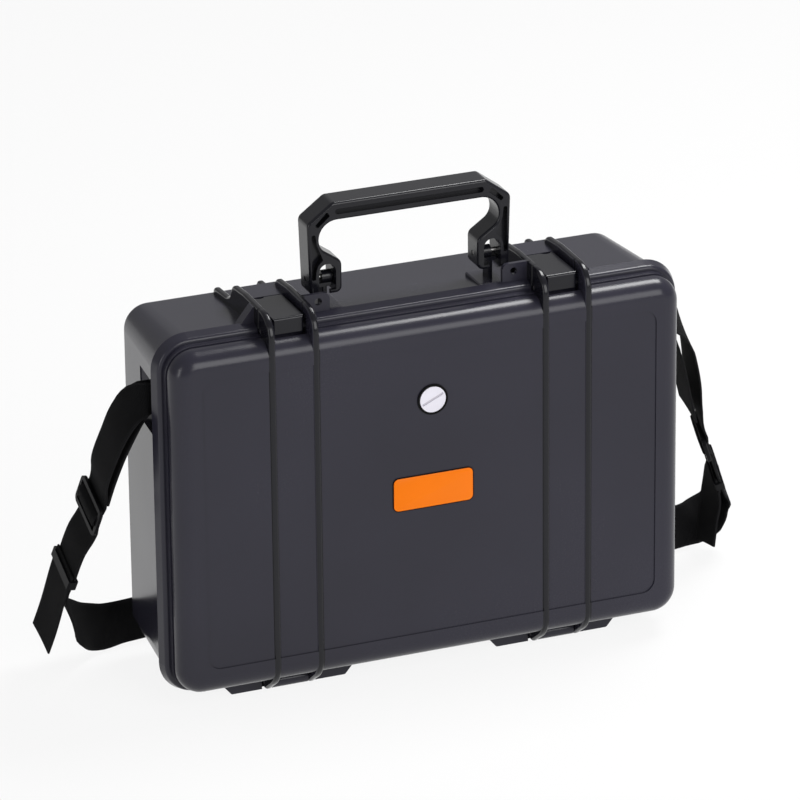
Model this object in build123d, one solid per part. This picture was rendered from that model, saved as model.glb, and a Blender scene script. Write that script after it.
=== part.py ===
from build123d import *
import os
from math import atan2, cos, degrees, hypot, radians, sin, tan

# Hard laptop case standing on its feet. X runs across the case, +Y points to its back
# and +Z up. The origin is on the floor, midway between the sides and between the rib
# crests of the lid and the back of the base. All sizes are in millimetres.
# A "depth" is measured backwards from the crests of the lid's ribs.

# --- overall ---
shell_width = 425.2        # lid wall, side to side
shell_height = 289.2       # lid wall, bottom to top
shell_corner = 21.0        # corner radius of the lid wall, seen from the front
shell_bottom = 16.5        # underside of the lid wall above the floor
case_depth = 132.0
lid_depth = 24.0           # rib crests to the middle of the seam
seam_gap = 0.4
wall = 3.2
overcut = 1.0              # how far a cut runs past the face that it starts from
find = 0.01                # reach for picking faces and edges by place

# --- lid face ---
margin_depth = 0.3         # flat border round the front panel
panel_width = 380.0
panel_height = 243.8
panel_corner = 11.0
panel_recess = 1.1         # front panel below its border
shoulder_radius = 15.0     # from the lid's border round to its wall
band_step = 0.8            # the strip next to the seam stands out by this
band_width = 6.2
band_groove = 1.2
band_groove_sink = 0.7

# --- ribs, alike on both sides of the middle ---
inner_rib_x = 96.0
outer_rib_x = 132.0
rib_width = 5.6
rib_rounding = 2.2
fin_height = 21.3          # rib crest above the top of the lid wall
fin_front_radius = 20.0
rib_heel_radius = 25.0
heel_slope = 35.8          # degrees, from the rib's heel down to the hinge ear
fin_flat_end = 57.0        # depth where the base fin starts to fall
fin_end = 88.0
fin_fall = 2.2
fin_back_radii = (30.0, 7.0, 4.0)
fin_foot = 8.0             # from the fin's back to the start of the low rib
fin_step = 3.0             # of the fin's back above the low rib
tail_rib_height = 5.3      # low rib behind the fin, above the base's wall
tail_rib_end = 126.0
tail_rib_radii = (12.0, 4.0)

# --- base ---
rim_front_offset = 4.2     # rim beyond the lid wall, at its front
rim_back_offset = 7.1
rim_width = 9.5            # along the depth
rim_rounding = 3.2
base_offset = 3.5          # base wall beyond the lid wall, just behind the rim
base_corner = 27.0
base_draft = 4.5           # degrees
base_back_rounding = 6.0
base_ledge = 3.6           # mouth of the base, inside the line of the lid wall
ledge_depth = 6.0
seal_width = 2.4
seal_sink = 2.4
seal_inset = 1.6           # middle of the seal, inside the line of the lid wall
seal_proud = 0.2

# --- feet, part of the base ---
foot_inner_x = 65.0
foot_outer_x = 161.0
foot_bevel = 7.0
foot_bevel_height = 8.3
foot_radii = [2.0] * 4
foot_front = 30.4
foot_back = 112.0

# --- hinge ---
hinge_depth = 27.0
hinge_height = 7.5
ear_radius = 5.7
knuckle_radius = 5.4
hinge_pin_radius = 1.6
running_clearance = 0.05
ear_clearance = 0.6
knuckle_side_gap = 0.4
foot_relief_radius = 10.6

# --- latches ---
latch_width = 24.8
latch_pivot_depth = 19.2
latch_pivot_rise = 3.9     # pivot above the lid wall
latch_pin_radius = 1.6
latch_front_depth = 12.8
latch_back_depth = 61.0
latch_top_rise = 15.0      # latch top above the lid wall
latch_lip_rise = 1.4       # underside of the latch's front lip above the lid wall
latch_lip_length = 2.6
latch_swing_gap = 2.0      # trough in the lid beyond the lip's corner
latch_swing_behind = 1.6   # trough behind the pivot
latch_plate = 4.6
latch_back_plate = 3.4
latch_top_fall = 0.6
latch_corner = 1.6         # of the front lip, seen from above
latch_front_radius = 2.2
latch_edge = 0.6
tooth_gap = 0.6            # hook tooth behind the rim
tooth_length = 3.0         # of the hook, along the depth
tooth_bite = 2.4           # hook below the top of the rim
tooth_root = 5.0
hook_gap = 1.2             # latch above the rim
hub_radius = 3.6
hub_gap = 0.35             # hub to the ribs
hub_relief = 1.6           # cleared round the hub in the lid
hub_relief_behind = 3.2
thumb_notch_radius = 5.0
thumb_notch_x = 120.6
thumb_notch_reach = 3.6
platform_gap = 1.4         # between the latch and the platform behind it
platform_rise = 13.9       # platform between the base fins, above the lid wall
platform_end = 88.0

# --- guard plates beside the fins ---
ear_plate_front = 32.6
ear_plate_thickness = 3.4
ear_plate_reach = 23.8
ear_plate_rise = 21.6
ear_plate_corner = 5.0
ear_hole_x = 81.8
ear_hole_rise = 15.1
ear_hole_radius = 3.0
gusset_front = 31.6
gusset_thickness = 9.4
gusset_reach = 13.8
gusset_rise = 19.6
gusset_land = 1.0          # flat top of the gusset beside the fin

# --- carrying handle: heights are above the lid wall ---
handle_front = 45.0
handle_thickness = 23.0
handle_rise = 89.8
handle_half_width = 85.0
handle_chamfer_x = 64.0
handle_chamfer_rise = 74.3
handle_leg_bottom_x = 83.0
handle_bottom_rise = 14.6
grip_underside_rise = 74.8
leg_inner_x = 75.2
leg_flare_rise = 53.3
lobe_inner_x = 56.8
lobe_top_rise = 40.6
handle_outer_radii = [5.0, 3.6, 6.0, 6.0]
handle_inner_radii = [15.0, 12.0, 6.5]
arch_inner_x = 61.9
arch_outer_x = 76.0
arch_bottom_rise = 17.9
arch_top_rise = 39.9
arch_lip = 3.4             # front lip that closes the inner part of the arch below
arch_lip_x = 66.6          # outer end of that lip
arch_foot = 1.0            # corners at its foot
arch_edge = 0.05           # kept flat at the top of the arch
pocket_depth = 6.0
top_pocket = [(-62.0, 79.7), (62.0, 79.7), (62.0, 84.3), (-62.0, 84.3)]
corner_pocket = [(66.2, 79.2), (76.6, 70.3), (79.0, 72.6), (68.7, 83.0)]
side_pocket = [(78.6, 27.7), (81.8, 27.7), (81.8, 65.2), (78.6, 65.2), (77.6, 56.8), (72.4, 43.4),
               (76.6, 39.2), (78.2, 34.0)]
top_pocket_radii = [2.2] * 4
corner_pocket_radii = [1.2] * 4
side_pocket_radii = [1.0, 1.4, 1.4, 1.4, 6.0, 0.8, 3.0, 4.0]
handle_rounding = 2.4
handle_pivot_depth = 56.5
handle_pivot_rise = 25.8
handle_pin_radius = 2.0
handle_pin_inset = 0.6     # pin's ends inside the leg's two faces
eye_x = 66.8
eye_width = 8.4
eye_radius = 5.0
eye_flange = 1.5
eye_flange_outer_x = 75.4
eye_flange_length = 12.0
post_x = 69.4
post_width = 3.8
post_length = 12.0
boss_inner_x = 57.0
boss_outer_x = 91.0
boss_front = 42.0
boss_back = 72.0
boss_rise = 3.9            # above the lid wall
boss_rounding = 1.2

# --- strap anchors in the sides of the base ---
anchor_bottom_fall = 79.7  # below the top of the lid wall
anchor_top_fall = 34.7
anchor_front = 36.0
anchor_back = 80.0
anchor_sink = 14.0
anchor_wall = 3.0
anchor_floor_length = 10.0 # flat floor behind the bar
anchor_run_out = 4.5       # floor below the wall at the back
anchor_radius = 8.0
anchor_overrun = 12.0      # cut beyond the wall
bar_radius = 3.0
bar_sink = 4.1             # middle of the bar inside the base's wall
bar_depth = 47.0
bar_seat = 2.5             # length of the bar held in each wall

# --- pressure valve ---
valve_rise = 76.8          # above the middle of the lid
valve_disc_radius = 10.7
valve_ring_radius = 12.6
valve_body_radius = 8.0
valve_stem_radius = 3.0
valve_disc_thickness = 1.2
valve_disc_proud = 0.1     # disc before its ring
valve_ring_rise = 1.2      # ring before the front panel
valve_seat = 1.2           # flange sunk in the front panel
valve_slot_width = 1.8
valve_slot_depth = 0.7
valve_slot_angle = 45.0
valve_nut_radius = 11.0
valve_end = 1.0            # of the valve's body beyond its nut, and short of it for its stem
valve_nut_thickness = 3.0
valve_gap = 0.35

# --- front plate ---
plate_width = 67.9
plate_height = 28.7
plate_corner = 2.5
plate_thickness = 0.9

# --- foam ---
foam_gap = 1.0
lid_foam_thickness = 13.0
lid_foam_corner = 12.0
lid_foam_rounding = 3.0
tray_side = 29.6           # foam beside the bay, to the line of the lid wall
tray_end = 16.6            # foam above and below the bay
tray_drop = 0.3            # tray's face below the ledge
bay_depth = 46.0
bay_corner = 8.0
finger_scoop_radius = 20.0
finger_scoop_depth = 32.0
finger_scoop_drop = 4.0    # scoop's middle inside the bay

# --- shoulder strap ---
web_width = 38.0
web_thickness = 1.8
web_play = 0.4             # between layers of webbing and round the bars
bar_web_fall = 48.7        # middle of the webbing on the bar, below the top of the lid wall
bar_web_width = 24.0
wrap_spans = 5             # straight spans of webbing round the bar
web_floor = 20.0           # middle of the webbing that lies on its edge
web_climb = 237.0          # from there up to the bar, in the stations' heights
slider_length = 26.6
slider_slot = 7.4
slider_bar = 4.2
slider_side = 4.0          # frame beside the webbing
slider_play = 1.2
slider_thickness = 3.2
slider_corner = 5.0
slider_rounding = 0.9
slider_lead = 6.0          # straight webbing before and after a slider
slot_near = 0.16           # webbing's place in a slot, as a share of it
slot_far = 0.84
slider_slot_corner = 0.5
keeper_wall = 1.6
keeper_share = 0.45        # right keeper's place between two stations
keeper_length = 8.0

# --- worked out ---
front_y = -case_depth / 2
middle_z = shell_bottom + shell_height / 2
lid_top = shell_bottom + shell_height
lid_edge = lid_depth - seam_gap / 2
base_edge = lid_depth + seam_gap / 2
rim_end = base_edge + rim_width
crest_z = lid_top + fin_height
rib_inside = inner_rib_x + rib_width / 2
rib_outside = outer_rib_x - rib_width / 2
latch_x = (inner_rib_x + outer_rib_x) / 2
latch_pivot_z = lid_top + latch_pivot_rise
handle_pivot_z = lid_top + handle_pivot_rise
anchor_bottom = lid_top - anchor_bottom_fall
anchor_top = lid_top - anchor_top_fall
side_x = shell_width / 2 + base_offset
bar_x = side_x - bar_sink
bar_web_z = lid_top - bar_web_fall
valve_z = middle_z + valve_rise
panel_depth = margin_depth + panel_recess
inner_front = panel_depth + wall
draft = tan(radians(base_draft))

nodes = {}


def at(depth):
    """Y of a depth behind the rib crests."""
    return front_y + depth


def slab(offset, corner, start, end, taper=0.0):
    """Upright rounded block about the case's middle, standing out of the lid wall by offset."""
    plane = Plane(origin=(0, at(start), middle_z), x_dir=(1, 0, 0), z_dir=(0, 1, 0))
    outline = RectangleRounded(shell_width + 2 * offset, shell_height + 2 * offset, corner)
    return extrude(plane * outline, amount=end - start, taper=taper)


def front_plate(width, height, corner, z, start, end):
    """Upright rounded plate centred across the case."""
    plane = Plane(origin=(0, at(start), z), x_dir=(1, 0, 0), z_dir=(0, 1, 0))
    return extrude(plane * RectangleRounded(width, height, corner), amount=end - start)


def side_profile(points, radii, x0, x1):
    """Solid between two X values from an outline of (depth, z) points, each with its radius."""
    path = FilletPolyline(*[(at(d), z) for d, z in points], radius=radii, close=True)
    face = Plane.YZ.offset(x0) * make_face(path)
    return extrude(face, amount=x1 - x0)


def front_profile(points, radii, start, end):
    """Solid between two depths from an outline of (x, z) points, each with its radius."""
    path = FilletPolyline(*points, radius=radii, close=True)
    face = Plane(origin=(0, at(end), 0), x_dir=(1, 0, 0), z_dir=(0, -1, 0)) * make_face(path)
    return extrude(face, amount=end - start)


def block(x0, x1, start, end, z0, z1):
    """Box between two X values, two depths and two heights."""
    centre = ((x0 + x1) / 2, at((start + end) / 2), (z0 + z1) / 2)
    return Pos(*centre) * Box(abs(x1 - x0), end - start, z1 - z0)


def rod_x(radius, x0, x1, depth, z):
    """Round bar along X."""
    return Pos((x0 + x1) / 2, at(depth), z) * Rot(0, 90, 0) * Cylinder(radius, abs(x1 - x0))


def rod_y(radius, x, z, start, end):
    """Round bar along Y."""
    return Pos(x, at((start + end) / 2), z) * Rot(90, 0, 0) * Cylinder(radius, end - start)


def mirrored(solid):
    """The solid's twin on the other side of the case."""
    return mirror(solid, about=Plane.YZ)


def both_sides(solid):
    return solid + mirrored(solid)


def rounded_rib(rib, x):
    """Rounds the long edges of a rib's two side faces."""
    for face_x in (x - rib_width / 2, x + rib_width / 2):
        edges = rib.edges().filter_by_position(Axis.X, face_x - find, face_x + find)
        rib = fillet(edges, rib_rounding)
    return rib


# ---------------------------------------------------------------- lid
def lid_rib(x):
    """Rib up the lid's front, with its fin at the top and its hinge ear at the bottom."""
    slope = radians(heel_slope)
    tangent_depth = hinge_depth - ear_radius * sin(slope)
    tangent_z = hinge_height - ear_radius * cos(slope)
    heel_z = tangent_z + tangent_depth * tan(slope)
    points = [(0, heel_z), (0, crest_z), (lid_edge, crest_z), (lid_edge, hinge_height),
              (hinge_depth, hinge_height), (tangent_depth, tangent_z)]
    radii = [rib_heel_radius, fin_front_radius, 0, 0, 0, 0]
    rib = side_profile(points, radii, x - rib_width / 2, x + rib_width / 2)
    ear = rod_x(ear_radius, x - rib_width / 2, x + rib_width / 2, hinge_depth, hinge_height)
    return rounded_rib(rib + ear, x)


def lid_shell():
    shell = slab(0, shell_corner, margin_depth, lid_edge)
    shell = fillet(shell.faces().sort_by(Axis.Y)[0].edges(), shoulder_radius)
    band_start = lid_edge - band_width
    shell += slab(band_step, shell_corner + band_step, band_start, lid_edge)
    groove = slab(base_offset, shell_corner, band_start - band_groove, band_start)
    groove -= slab(-band_groove_sink, shell_corner - band_groove_sink,
                   band_start - band_groove, band_start)
    shell -= groove
    shell -= front_plate(panel_width, panel_height, panel_corner, middle_z,
                         margin_depth - overcut, panel_depth)
    for x in (inner_rib_x, outer_rib_x):
        shell += both_sides(lid_rib(x))
    cavity = slab(-wall, shell_corner - wall, inner_front, lid_edge + overcut)
    cavity = fillet(cavity.faces().sort_by(Axis.Y)[0].edges(), shoulder_radius - wall)
    shell -= cavity
    # the latch's lip swings in a trough, with a thicker wall below it
    swing = hypot(latch_pivot_depth - latch_front_depth, latch_pivot_rise - latch_lip_rise)
    trough_radius = swing + latch_swing_gap
    pad_bottom = latch_pivot_z - trough_radius - wall
    shell += both_sides(block(inner_rib_x, outer_rib_x, latch_front_depth - wall, lid_edge,
                              pad_bottom, lid_top - wall / 2))
    trough = rod_x(trough_radius, rib_inside, rib_outside, latch_pivot_depth, latch_pivot_z)
    trough &= block(rib_inside, rib_outside, 0, latch_pivot_depth + latch_swing_behind,
                    shell_bottom, crest_z)
    relief = rod_x(hub_radius + hub_relief, rib_inside, rib_outside, latch_pivot_depth, latch_pivot_z)
    relief &= block(rib_inside, rib_outside, 0, latch_pivot_depth + hub_relief_behind, shell_bottom, crest_z)
    shell -= both_sides(trough + relief)
    shell -= both_sides(rod_x(latch_pin_radius, inner_rib_x - rib_width, outer_rib_x + rib_width,
                              latch_pivot_depth, latch_pivot_z))
    shell -= both_sides(rod_x(hinge_pin_radius + running_clearance, inner_rib_x - rib_width,
                              outer_rib_x + rib_width, hinge_depth, hinge_height))
    shell -= rod_y(valve_body_radius, 0, valve_z, -overcut, inner_front + overcut)
    shell -= rod_y(valve_ring_radius, 0, valve_z, -overcut, panel_depth + valve_seat)
    return shell


# ---------------------------------------------------------------- base
def wall_z(depth):
    """Height of the base's top surface at a depth behind the rim."""
    return lid_top + base_offset - (depth - rim_end) * draft


def base_fin(x):
    """Fin on the base behind the seam, with the low rib that runs on from it."""
    tail_start = fin_end + fin_foot
    points = [(base_edge, lid_top - wall), (base_edge, crest_z), (fin_flat_end, crest_z),
              (fin_end - 2 * fin_step, crest_z - fin_fall),
              (fin_end, wall_z(fin_end) + tail_rib_height + fin_step),
              (tail_start, wall_z(tail_start) + tail_rib_height),
              (tail_rib_end, wall_z(tail_rib_end) + tail_rib_height),
              (tail_rib_end, wall_z(tail_rib_end) - wall / 2)]
    radii = [0, 0, *fin_back_radii, *tail_rib_radii, 0]
    return rounded_rib(side_profile(points, radii, x - rib_width / 2, x + rib_width / 2), x)


def foot():
    """Foot block under the right pair of ribs."""
    top = shell_bottom + wall
    points = [(foot_inner_x - foot_bevel, top), (foot_inner_x - foot_bevel, foot_bevel_height),
              (foot_inner_x, 0), (foot_outer_x, 0), (foot_outer_x + foot_bevel, foot_bevel_height),
              (foot_outer_x + foot_bevel, top)]
    return front_profile(points, [0, *foot_radii, 0], foot_front, foot_back)


def padlock_ear():
    """Upright plate on the inner side of the inner fin, with a hole along Y."""
    root = inner_rib_x
    tip = inner_rib_x - ear_plate_reach
    top = lid_top + ear_plate_rise
    back = ear_plate_front + ear_plate_thickness
    points = [(root, lid_top), (root, top), (tip, top), (tip, lid_top)]
    plate = front_profile(points, [0, 0, ear_plate_corner, 0], ear_plate_front, back)
    return plate - rod_y(ear_hole_radius, ear_hole_x, lid_top + ear_hole_rise,
                         ear_plate_front - overcut, back + overcut)


def gusset():
    """Solid corner between the rim and the outer side of the outer fin."""
    root = outer_rib_x
    tip = root + rib_width / 2 + gusset_reach
    land = root + rib_width / 2 + gusset_land
    points = [(root, lid_top), (root, lid_top + gusset_rise), (land, lid_top + gusset_rise),
              (tip, lid_top + base_offset), (tip, lid_top)]
    return front_profile(points, [0] * 5, gusset_front, gusset_front + gusset_thickness)


def base_cavity():
    mouth = slab(-base_ledge, shell_corner - base_ledge, base_edge - overcut, base_edge + ledge_depth)
    inner_offset = base_offset - wall + (rim_end - base_edge - ledge_depth) * draft
    depth_end = case_depth - wall
    hollow = slab(inner_offset, base_corner - wall, base_edge + ledge_depth, depth_end, taper=base_draft)
    return mouth + hollow


def anchor_block(grow, x_inner):
    """Room of one strap anchor, at the right side of the case."""
    return block(x_inner, side_x + anchor_overrun, anchor_front - grow, anchor_back + grow,
                 anchor_bottom - grow, anchor_top + grow)


def anchor_recess():
    """Scooped recess: deep round the bar and running out to the back."""
    floor_x = side_x - anchor_sink
    outer_x = side_x + anchor_overrun
    points = [(outer_x, at(anchor_front)), (floor_x, at(anchor_front)),
              (floor_x, at(bar_depth + anchor_floor_length)),
              (side_x - anchor_run_out, at(anchor_back)), (outer_x, at(anchor_back))]
    face = make_face(FilletPolyline(*points, radius=[0, anchor_radius, anchor_radius, 0, 0],
                                    close=True))
    return extrude(Plane.XY.offset(anchor_bottom) * face, amount=anchor_top - anchor_bottom)


def base_shell():
    rim = slab(rim_front_offset, shell_corner + rim_front_offset, base_edge, rim_end,
               taper=-degrees(atan2(rim_back_offset - rim_front_offset, rim_width)))
    rim = fillet(rim.faces().sort_by(Axis.Y)[0].edges(), rim_rounding)
    body = slab(base_offset, base_corner, rim_end, case_depth, taper=base_draft)
    body = fillet(body.faces().sort_by(Axis.Y)[-1].edges(), base_back_rounding)
    shell = rim + body
    shell += both_sides(foot())
    for x in (inner_rib_x, outer_rib_x):
        shell += both_sides(base_fin(x))
    platform_start = latch_back_depth + platform_gap
    shell += both_sides(block(inner_rib_x, outer_rib_x, platform_start, platform_end,
                              lid_top - wall, lid_top + platform_rise))
    shell += both_sides(padlock_ear())
    shell += both_sides(gusset())
    boss = block(boss_inner_x, boss_outer_x, boss_front, boss_back, lid_top - wall, lid_top + boss_rise)
    shell += both_sides(fillet(boss.faces().sort_by(Axis.Z)[-1].edges(), boss_rounding))
    shell -= base_cavity()
    floor_x = side_x - anchor_sink - anchor_wall
    shell += both_sides(anchor_block(anchor_wall, floor_x) & body)
    shell -= both_sides(anchor_recess())
    shell -= both_sides(bar(0))
    for x in (inner_rib_x, outer_rib_x):
        half = rib_width / 2 + ear_clearance
        shell -= both_sides(rod_x(ear_radius + ear_clearance, x - half, x + half, hinge_depth, hinge_height))
        relief = rod_x(foot_relief_radius, x - half, x + half, hinge_depth, hinge_height)
        relief &= block(x - half, x + half, foot_front - overcut, foot_back, 0, hinge_height)
        shell -= both_sides(relief)
    knuckle = rod_x(knuckle_radius, rib_inside + knuckle_side_gap, rib_outside - knuckle_side_gap,
                    hinge_depth, hinge_height)
    knuckle += block(rib_inside + knuckle_side_gap, rib_outside - knuckle_side_gap,
                     base_edge, foot_front, hinge_height, shell_bottom - base_offset)
    shell += both_sides(knuckle)
    shell -= both_sides(rod_x(hinge_pin_radius, rib_inside, rib_outside, hinge_depth, hinge_height))
    shell -= seal(seal_sink + overcut, seal_width, base_edge - overcut)
    return shell


def seal(length, width, start):
    """Ring of the seal's section, from a depth backwards."""
    outer = slab(-seal_inset + width / 2, shell_corner - seal_inset + width / 2, start, start + length)
    inner = slab(-seal_inset - width / 2, shell_corner - seal_inset - width / 2, start, start + length)
    return outer - inner


def bar(clearance):
    """Steel bar of the right strap anchor, seated in the walls above and below it."""
    low = anchor_bottom - bar_seat
    high = anchor_top + bar_seat
    return Pos(bar_x, at(bar_depth), (low + high) / 2) * Cylinder(bar_radius + clearance, high - low)


# ---------------------------------------------------------------- latches
def latch():
    """Latch between the right pair of fins: hub on the pivot, hook behind the rim, lifting plate."""
    top = lid_top + latch_top_rise
    lip = lid_top + latch_lip_rise
    rim_top = lid_top + rim_back_offset
    tooth_in = rim_end + tooth_gap
    tooth_out = tooth_in + tooth_length
    hook_under = rim_top + hook_gap
    points = [(latch_front_depth, lip), (latch_front_depth, top),
              (latch_back_depth, top - latch_top_fall),
              (latch_back_depth, top - latch_top_fall - latch_back_plate),
              (tooth_out + tooth_root, top - latch_plate - latch_top_fall),
              (tooth_out, rim_top + latch_edge),
              (tooth_out - latch_edge, rim_top - tooth_bite), (tooth_in, rim_top - tooth_bite),
              (tooth_in, hook_under), (latch_pivot_depth + hub_radius + tooth_gap, hook_under),
              (latch_pivot_depth, latch_pivot_z - hub_radius), (latch_front_depth + latch_lip_length, lip)]
    edge = latch_edge
    radii = [edge, latch_front_radius, 2 * edge, 2 * edge, tooth_root, edge, edge, edge / 2, edge,
             2 * edge, 3 * edge, edge]
    x0 = latch_x - latch_width / 2
    x1 = latch_x + latch_width / 2
    body = side_profile(points, radii, x0, x1)
    plan = [(x0, at(latch_front_depth)), (x1, at(latch_front_depth)), (x1, at(latch_back_depth)),
            (x0, at(latch_back_depth))]
    outline = make_face(FilletPolyline(*plan, radius=[latch_corner] * 4, close=True))
    body &= Plane.XY.offset(shell_bottom) * extrude(outline, amount=crest_z)
    body += rod_x(hub_radius, rib_inside + hub_gap, rib_outside - hub_gap, latch_pivot_depth, latch_pivot_z)
    body -= rod_x(latch_pin_radius + running_clearance, rib_inside, rib_outside,
                  latch_pivot_depth, latch_pivot_z)
    notch_y = at(latch_back_depth - thumb_notch_reach + thumb_notch_radius)
    return body - Pos(thumb_notch_x, notch_y, top) * Cylinder(thumb_notch_radius, crest_z - lid_top)


# ---------------------------------------------------------------- handle
def risen(points):
    """Points of (x, height above the lid wall) as (x, z)."""
    return [(x, lid_top + rise) for x, rise in points]


def pocket(points, radii):
    return front_profile(risen(points), radii, 0, pocket_depth)


def handle():
    """Grip with two legs; each leg ends in a forked lobe that straddles its post."""
    half = risen([(lobe_inner_x, handle_bottom_rise), (handle_leg_bottom_x, handle_bottom_rise),
                  (handle_half_width, handle_chamfer_rise), (handle_chamfer_x, handle_rise)])
    inner = risen([(leg_inner_x, grip_underside_rise), (leg_inner_x, leg_flare_rise),
                   (lobe_inner_x, lobe_top_rise)])
    outline = half + [(-x, z) for x, z in reversed(half)]
    outline += [(-x, z) for x, z in reversed(inner)]
    outline += inner
    radii = handle_outer_radii + handle_outer_radii[::-1] + handle_inner_radii[::-1] + handle_inner_radii
    back = handle_front + handle_thickness
    grip = front_profile(outline, radii, handle_front, back)
    faces = grip.faces().sort_by(Axis.Y)
    grip = fillet(faces[0].edges() + faces[-1].edges(), handle_rounding)
    bottom = lid_top + handle_bottom_rise
    arch_points = risen([(arch_inner_x, arch_bottom_rise), (arch_outer_x, arch_bottom_rise),
                         (arch_outer_x, arch_top_rise), (arch_inner_x, arch_top_rise)])
    arch_radius = (arch_outer_x - arch_inner_x) / 2 - arch_edge
    arch_radii = [arch_foot, arch_foot, arch_radius, arch_radius]
    front_cut = handle_front - overcut
    back_cut = back + overcut
    low_cut = bottom - overcut
    arch = front_profile(arch_points, arch_radii, front_cut, back_cut)
    throat_top = lid_top + handle_pivot_rise
    throat = block(arch_inner_x, arch_outer_x, handle_front + arch_lip, back_cut, low_cut, throat_top)
    throat += block(arch_lip_x, arch_outer_x, front_cut, back_cut, low_cut, throat_top)
    grip -= both_sides(arch + throat)
    pockets = pocket(side_pocket, side_pocket_radii) + pocket(corner_pocket, corner_pocket_radii)
    pockets = both_sides(pockets) + pocket(top_pocket, top_pocket_radii)
    grip -= Pos(0, handle_front, 0) * pockets
    grip -= Pos(0, back - pocket_depth, 0) * pockets
    bore = rod_x(handle_pin_radius + running_clearance, lobe_inner_x - overcut, handle_half_width + overcut,
                 handle_pivot_depth, handle_pivot_z)
    return grip - both_sides(bore)


def handle_bracket():
    """Moulded post that carries the right end of the handle: eye, flange and upright."""
    x0 = eye_x - eye_width / 2
    flange_top = handle_pivot_z - eye_radius + eye_flange
    bracket = rod_x(eye_radius, x0, x0 + eye_width, handle_pivot_depth, handle_pivot_z)
    half_flange = eye_flange_length / 2
    flange = block(x0, eye_flange_outer_x, handle_pivot_depth - half_flange,
                   handle_pivot_depth + half_flange, flange_top - 2 * eye_flange, flange_top)
    bracket += fillet(flange.edges().filter_by(Axis.Z), eye_flange)
    upright = block(post_x - post_width / 2, post_x + post_width / 2, handle_pivot_depth - post_length / 2,
                    handle_pivot_depth + post_length / 2, lid_top + boss_rise, flange_top - eye_flange)
    bracket += fillet(upright.edges().filter_by(Axis.Z), post_width / 4)
    return bracket - rod_x(handle_pin_radius, x0 - overcut, x0 + eye_width + overcut,
                           handle_pivot_depth, handle_pivot_z)


# ---------------------------------------------------------------- valve
def valve_parts():
    """Housing through the lid's front, turning disc with its stem, and nut inside."""
    ring_front = panel_depth - valve_ring_rise
    disc_front = ring_front - valve_disc_proud
    disc_back = disc_front + valve_disc_thickness
    body_end = inner_front + valve_nut_thickness + valve_end
    body = rod_y(valve_ring_radius, 0, valve_z, ring_front, panel_depth + valve_seat)
    body += rod_y(valve_body_radius, 0, valve_z, panel_depth, body_end)
    body -= rod_y(valve_disc_radius + valve_gap, 0, valve_z, ring_front - overcut, disc_back + valve_gap)
    body -= rod_y(valve_stem_radius + running_clearance, 0, valve_z, 0, body_end + overcut)
    disc = rod_y(valve_disc_radius, 0, valve_z, disc_front, disc_back)
    disc += rod_y(valve_stem_radius, 0, valve_z, disc_back, body_end - valve_end)
    slot = Box(2 * valve_disc_radius + overcut, 2 * valve_slot_depth, valve_slot_width)
    disc -= Pos(0, at(disc_front), valve_z) * Rot(0, valve_slot_angle, 0) * slot
    nut_sketch = RegularPolygon(valve_nut_radius, 6) - Circle(valve_body_radius)
    nut_plane = Plane(origin=(0, at(inner_front), valve_z), x_dir=(1, 0, 0), z_dir=(0, 1, 0))
    nut = extrude(nut_plane * nut_sketch, amount=valve_nut_thickness)
    return body, disc, nut


# ---------------------------------------------------------------- foam
def lid_foam():
    """Pad on the inside of the lid, with a hole for the valve's nut."""
    inset = -shoulder_radius - foam_gap
    back = inner_front + lid_foam_thickness
    pad = slab(inset, lid_foam_corner, inner_front, back)
    pad = fillet(pad.faces().sort_by(Axis.Y)[-1].edges(), lid_foam_rounding)
    return pad - rod_y(valve_nut_radius + foam_gap, 0, valve_z, inner_front - overcut, back + overcut)


def base_foam():
    """Tray with a bay for the laptop and a scoop for the fingers at its top."""
    start = base_edge + ledge_depth + tray_drop
    inner_offset = base_offset - wall - foam_gap
    foam = slab(inner_offset, base_corner - wall - foam_gap, start, case_depth - wall, taper=base_draft)
    bay_width = shell_width - 2 * tray_side
    bay_height = shell_height - 2 * tray_end
    foam -= front_plate(bay_width, bay_height, bay_corner, middle_z, start - overcut, start + bay_depth)
    foam -= rod_y(finger_scoop_radius, 0, middle_z + bay_height / 2 - finger_scoop_drop, start - overcut,
                  start + finger_scoop_depth)
    floor_x = side_x - anchor_sink - anchor_wall - foam_gap
    return foam - both_sides(anchor_block(anchor_wall + foam_gap, floor_x))


# ---------------------------------------------------------------- strap
def frames(stations):
    """Point, width direction, run direction, outward direction and width at every station."""
    points = [Vector(*p) for p, _, _ in stations]
    result = []
    for i, (_, across, width) in enumerate(stations):
        before = (points[i] - points[i - 1]).normalized() if i else None
        after = (points[i + 1] - points[i]).normalized() if i + 1 < len(points) else None
        along = ((before or after) + (after or before)).normalized()
        across = Vector(*across)
        across = (across - along * across.dot(along)).normalized()
        result.append((points[i], across, along, along.cross(across), width))
    return result


def ribbon(stations, thickness=web_thickness):
    """Webbing through stations of (point, width direction, width), in straight spans."""
    sections = []
    for point, across, along, _, width in frames(stations):
        sections.append(Plane(origin=point, x_dir=across, z_dir=along) * Rectangle(width, thickness))
    return loft(sections, ruled=True)


def shifted(station, along=0.0, outward=0.0):
    """A frame's station, moved along the run and out of its face."""
    point, across, run, out, width = station
    moved = point + run * along + out * outward
    return tuple(moved), tuple(across), width


def through_slider(station):
    """Stations of webbing that weaves over a slider's middle bar, from its lower side up."""
    half = slider_length / 2
    turn = slider_bar / 2 + slider_slot * slot_far
    over = slider_bar / 2 + slider_slot * slot_near
    lift = slider_thickness / 2 + web_thickness / 2 + web_play
    lead = half + slider_lead
    return [shifted(station, -lead, -lift), shifted(station, -turn, -lift), shifted(station, -over, lift),
            shifted(station, over, lift), shifted(station, turn, -lift), shifted(station, lead, -lift)]


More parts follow.
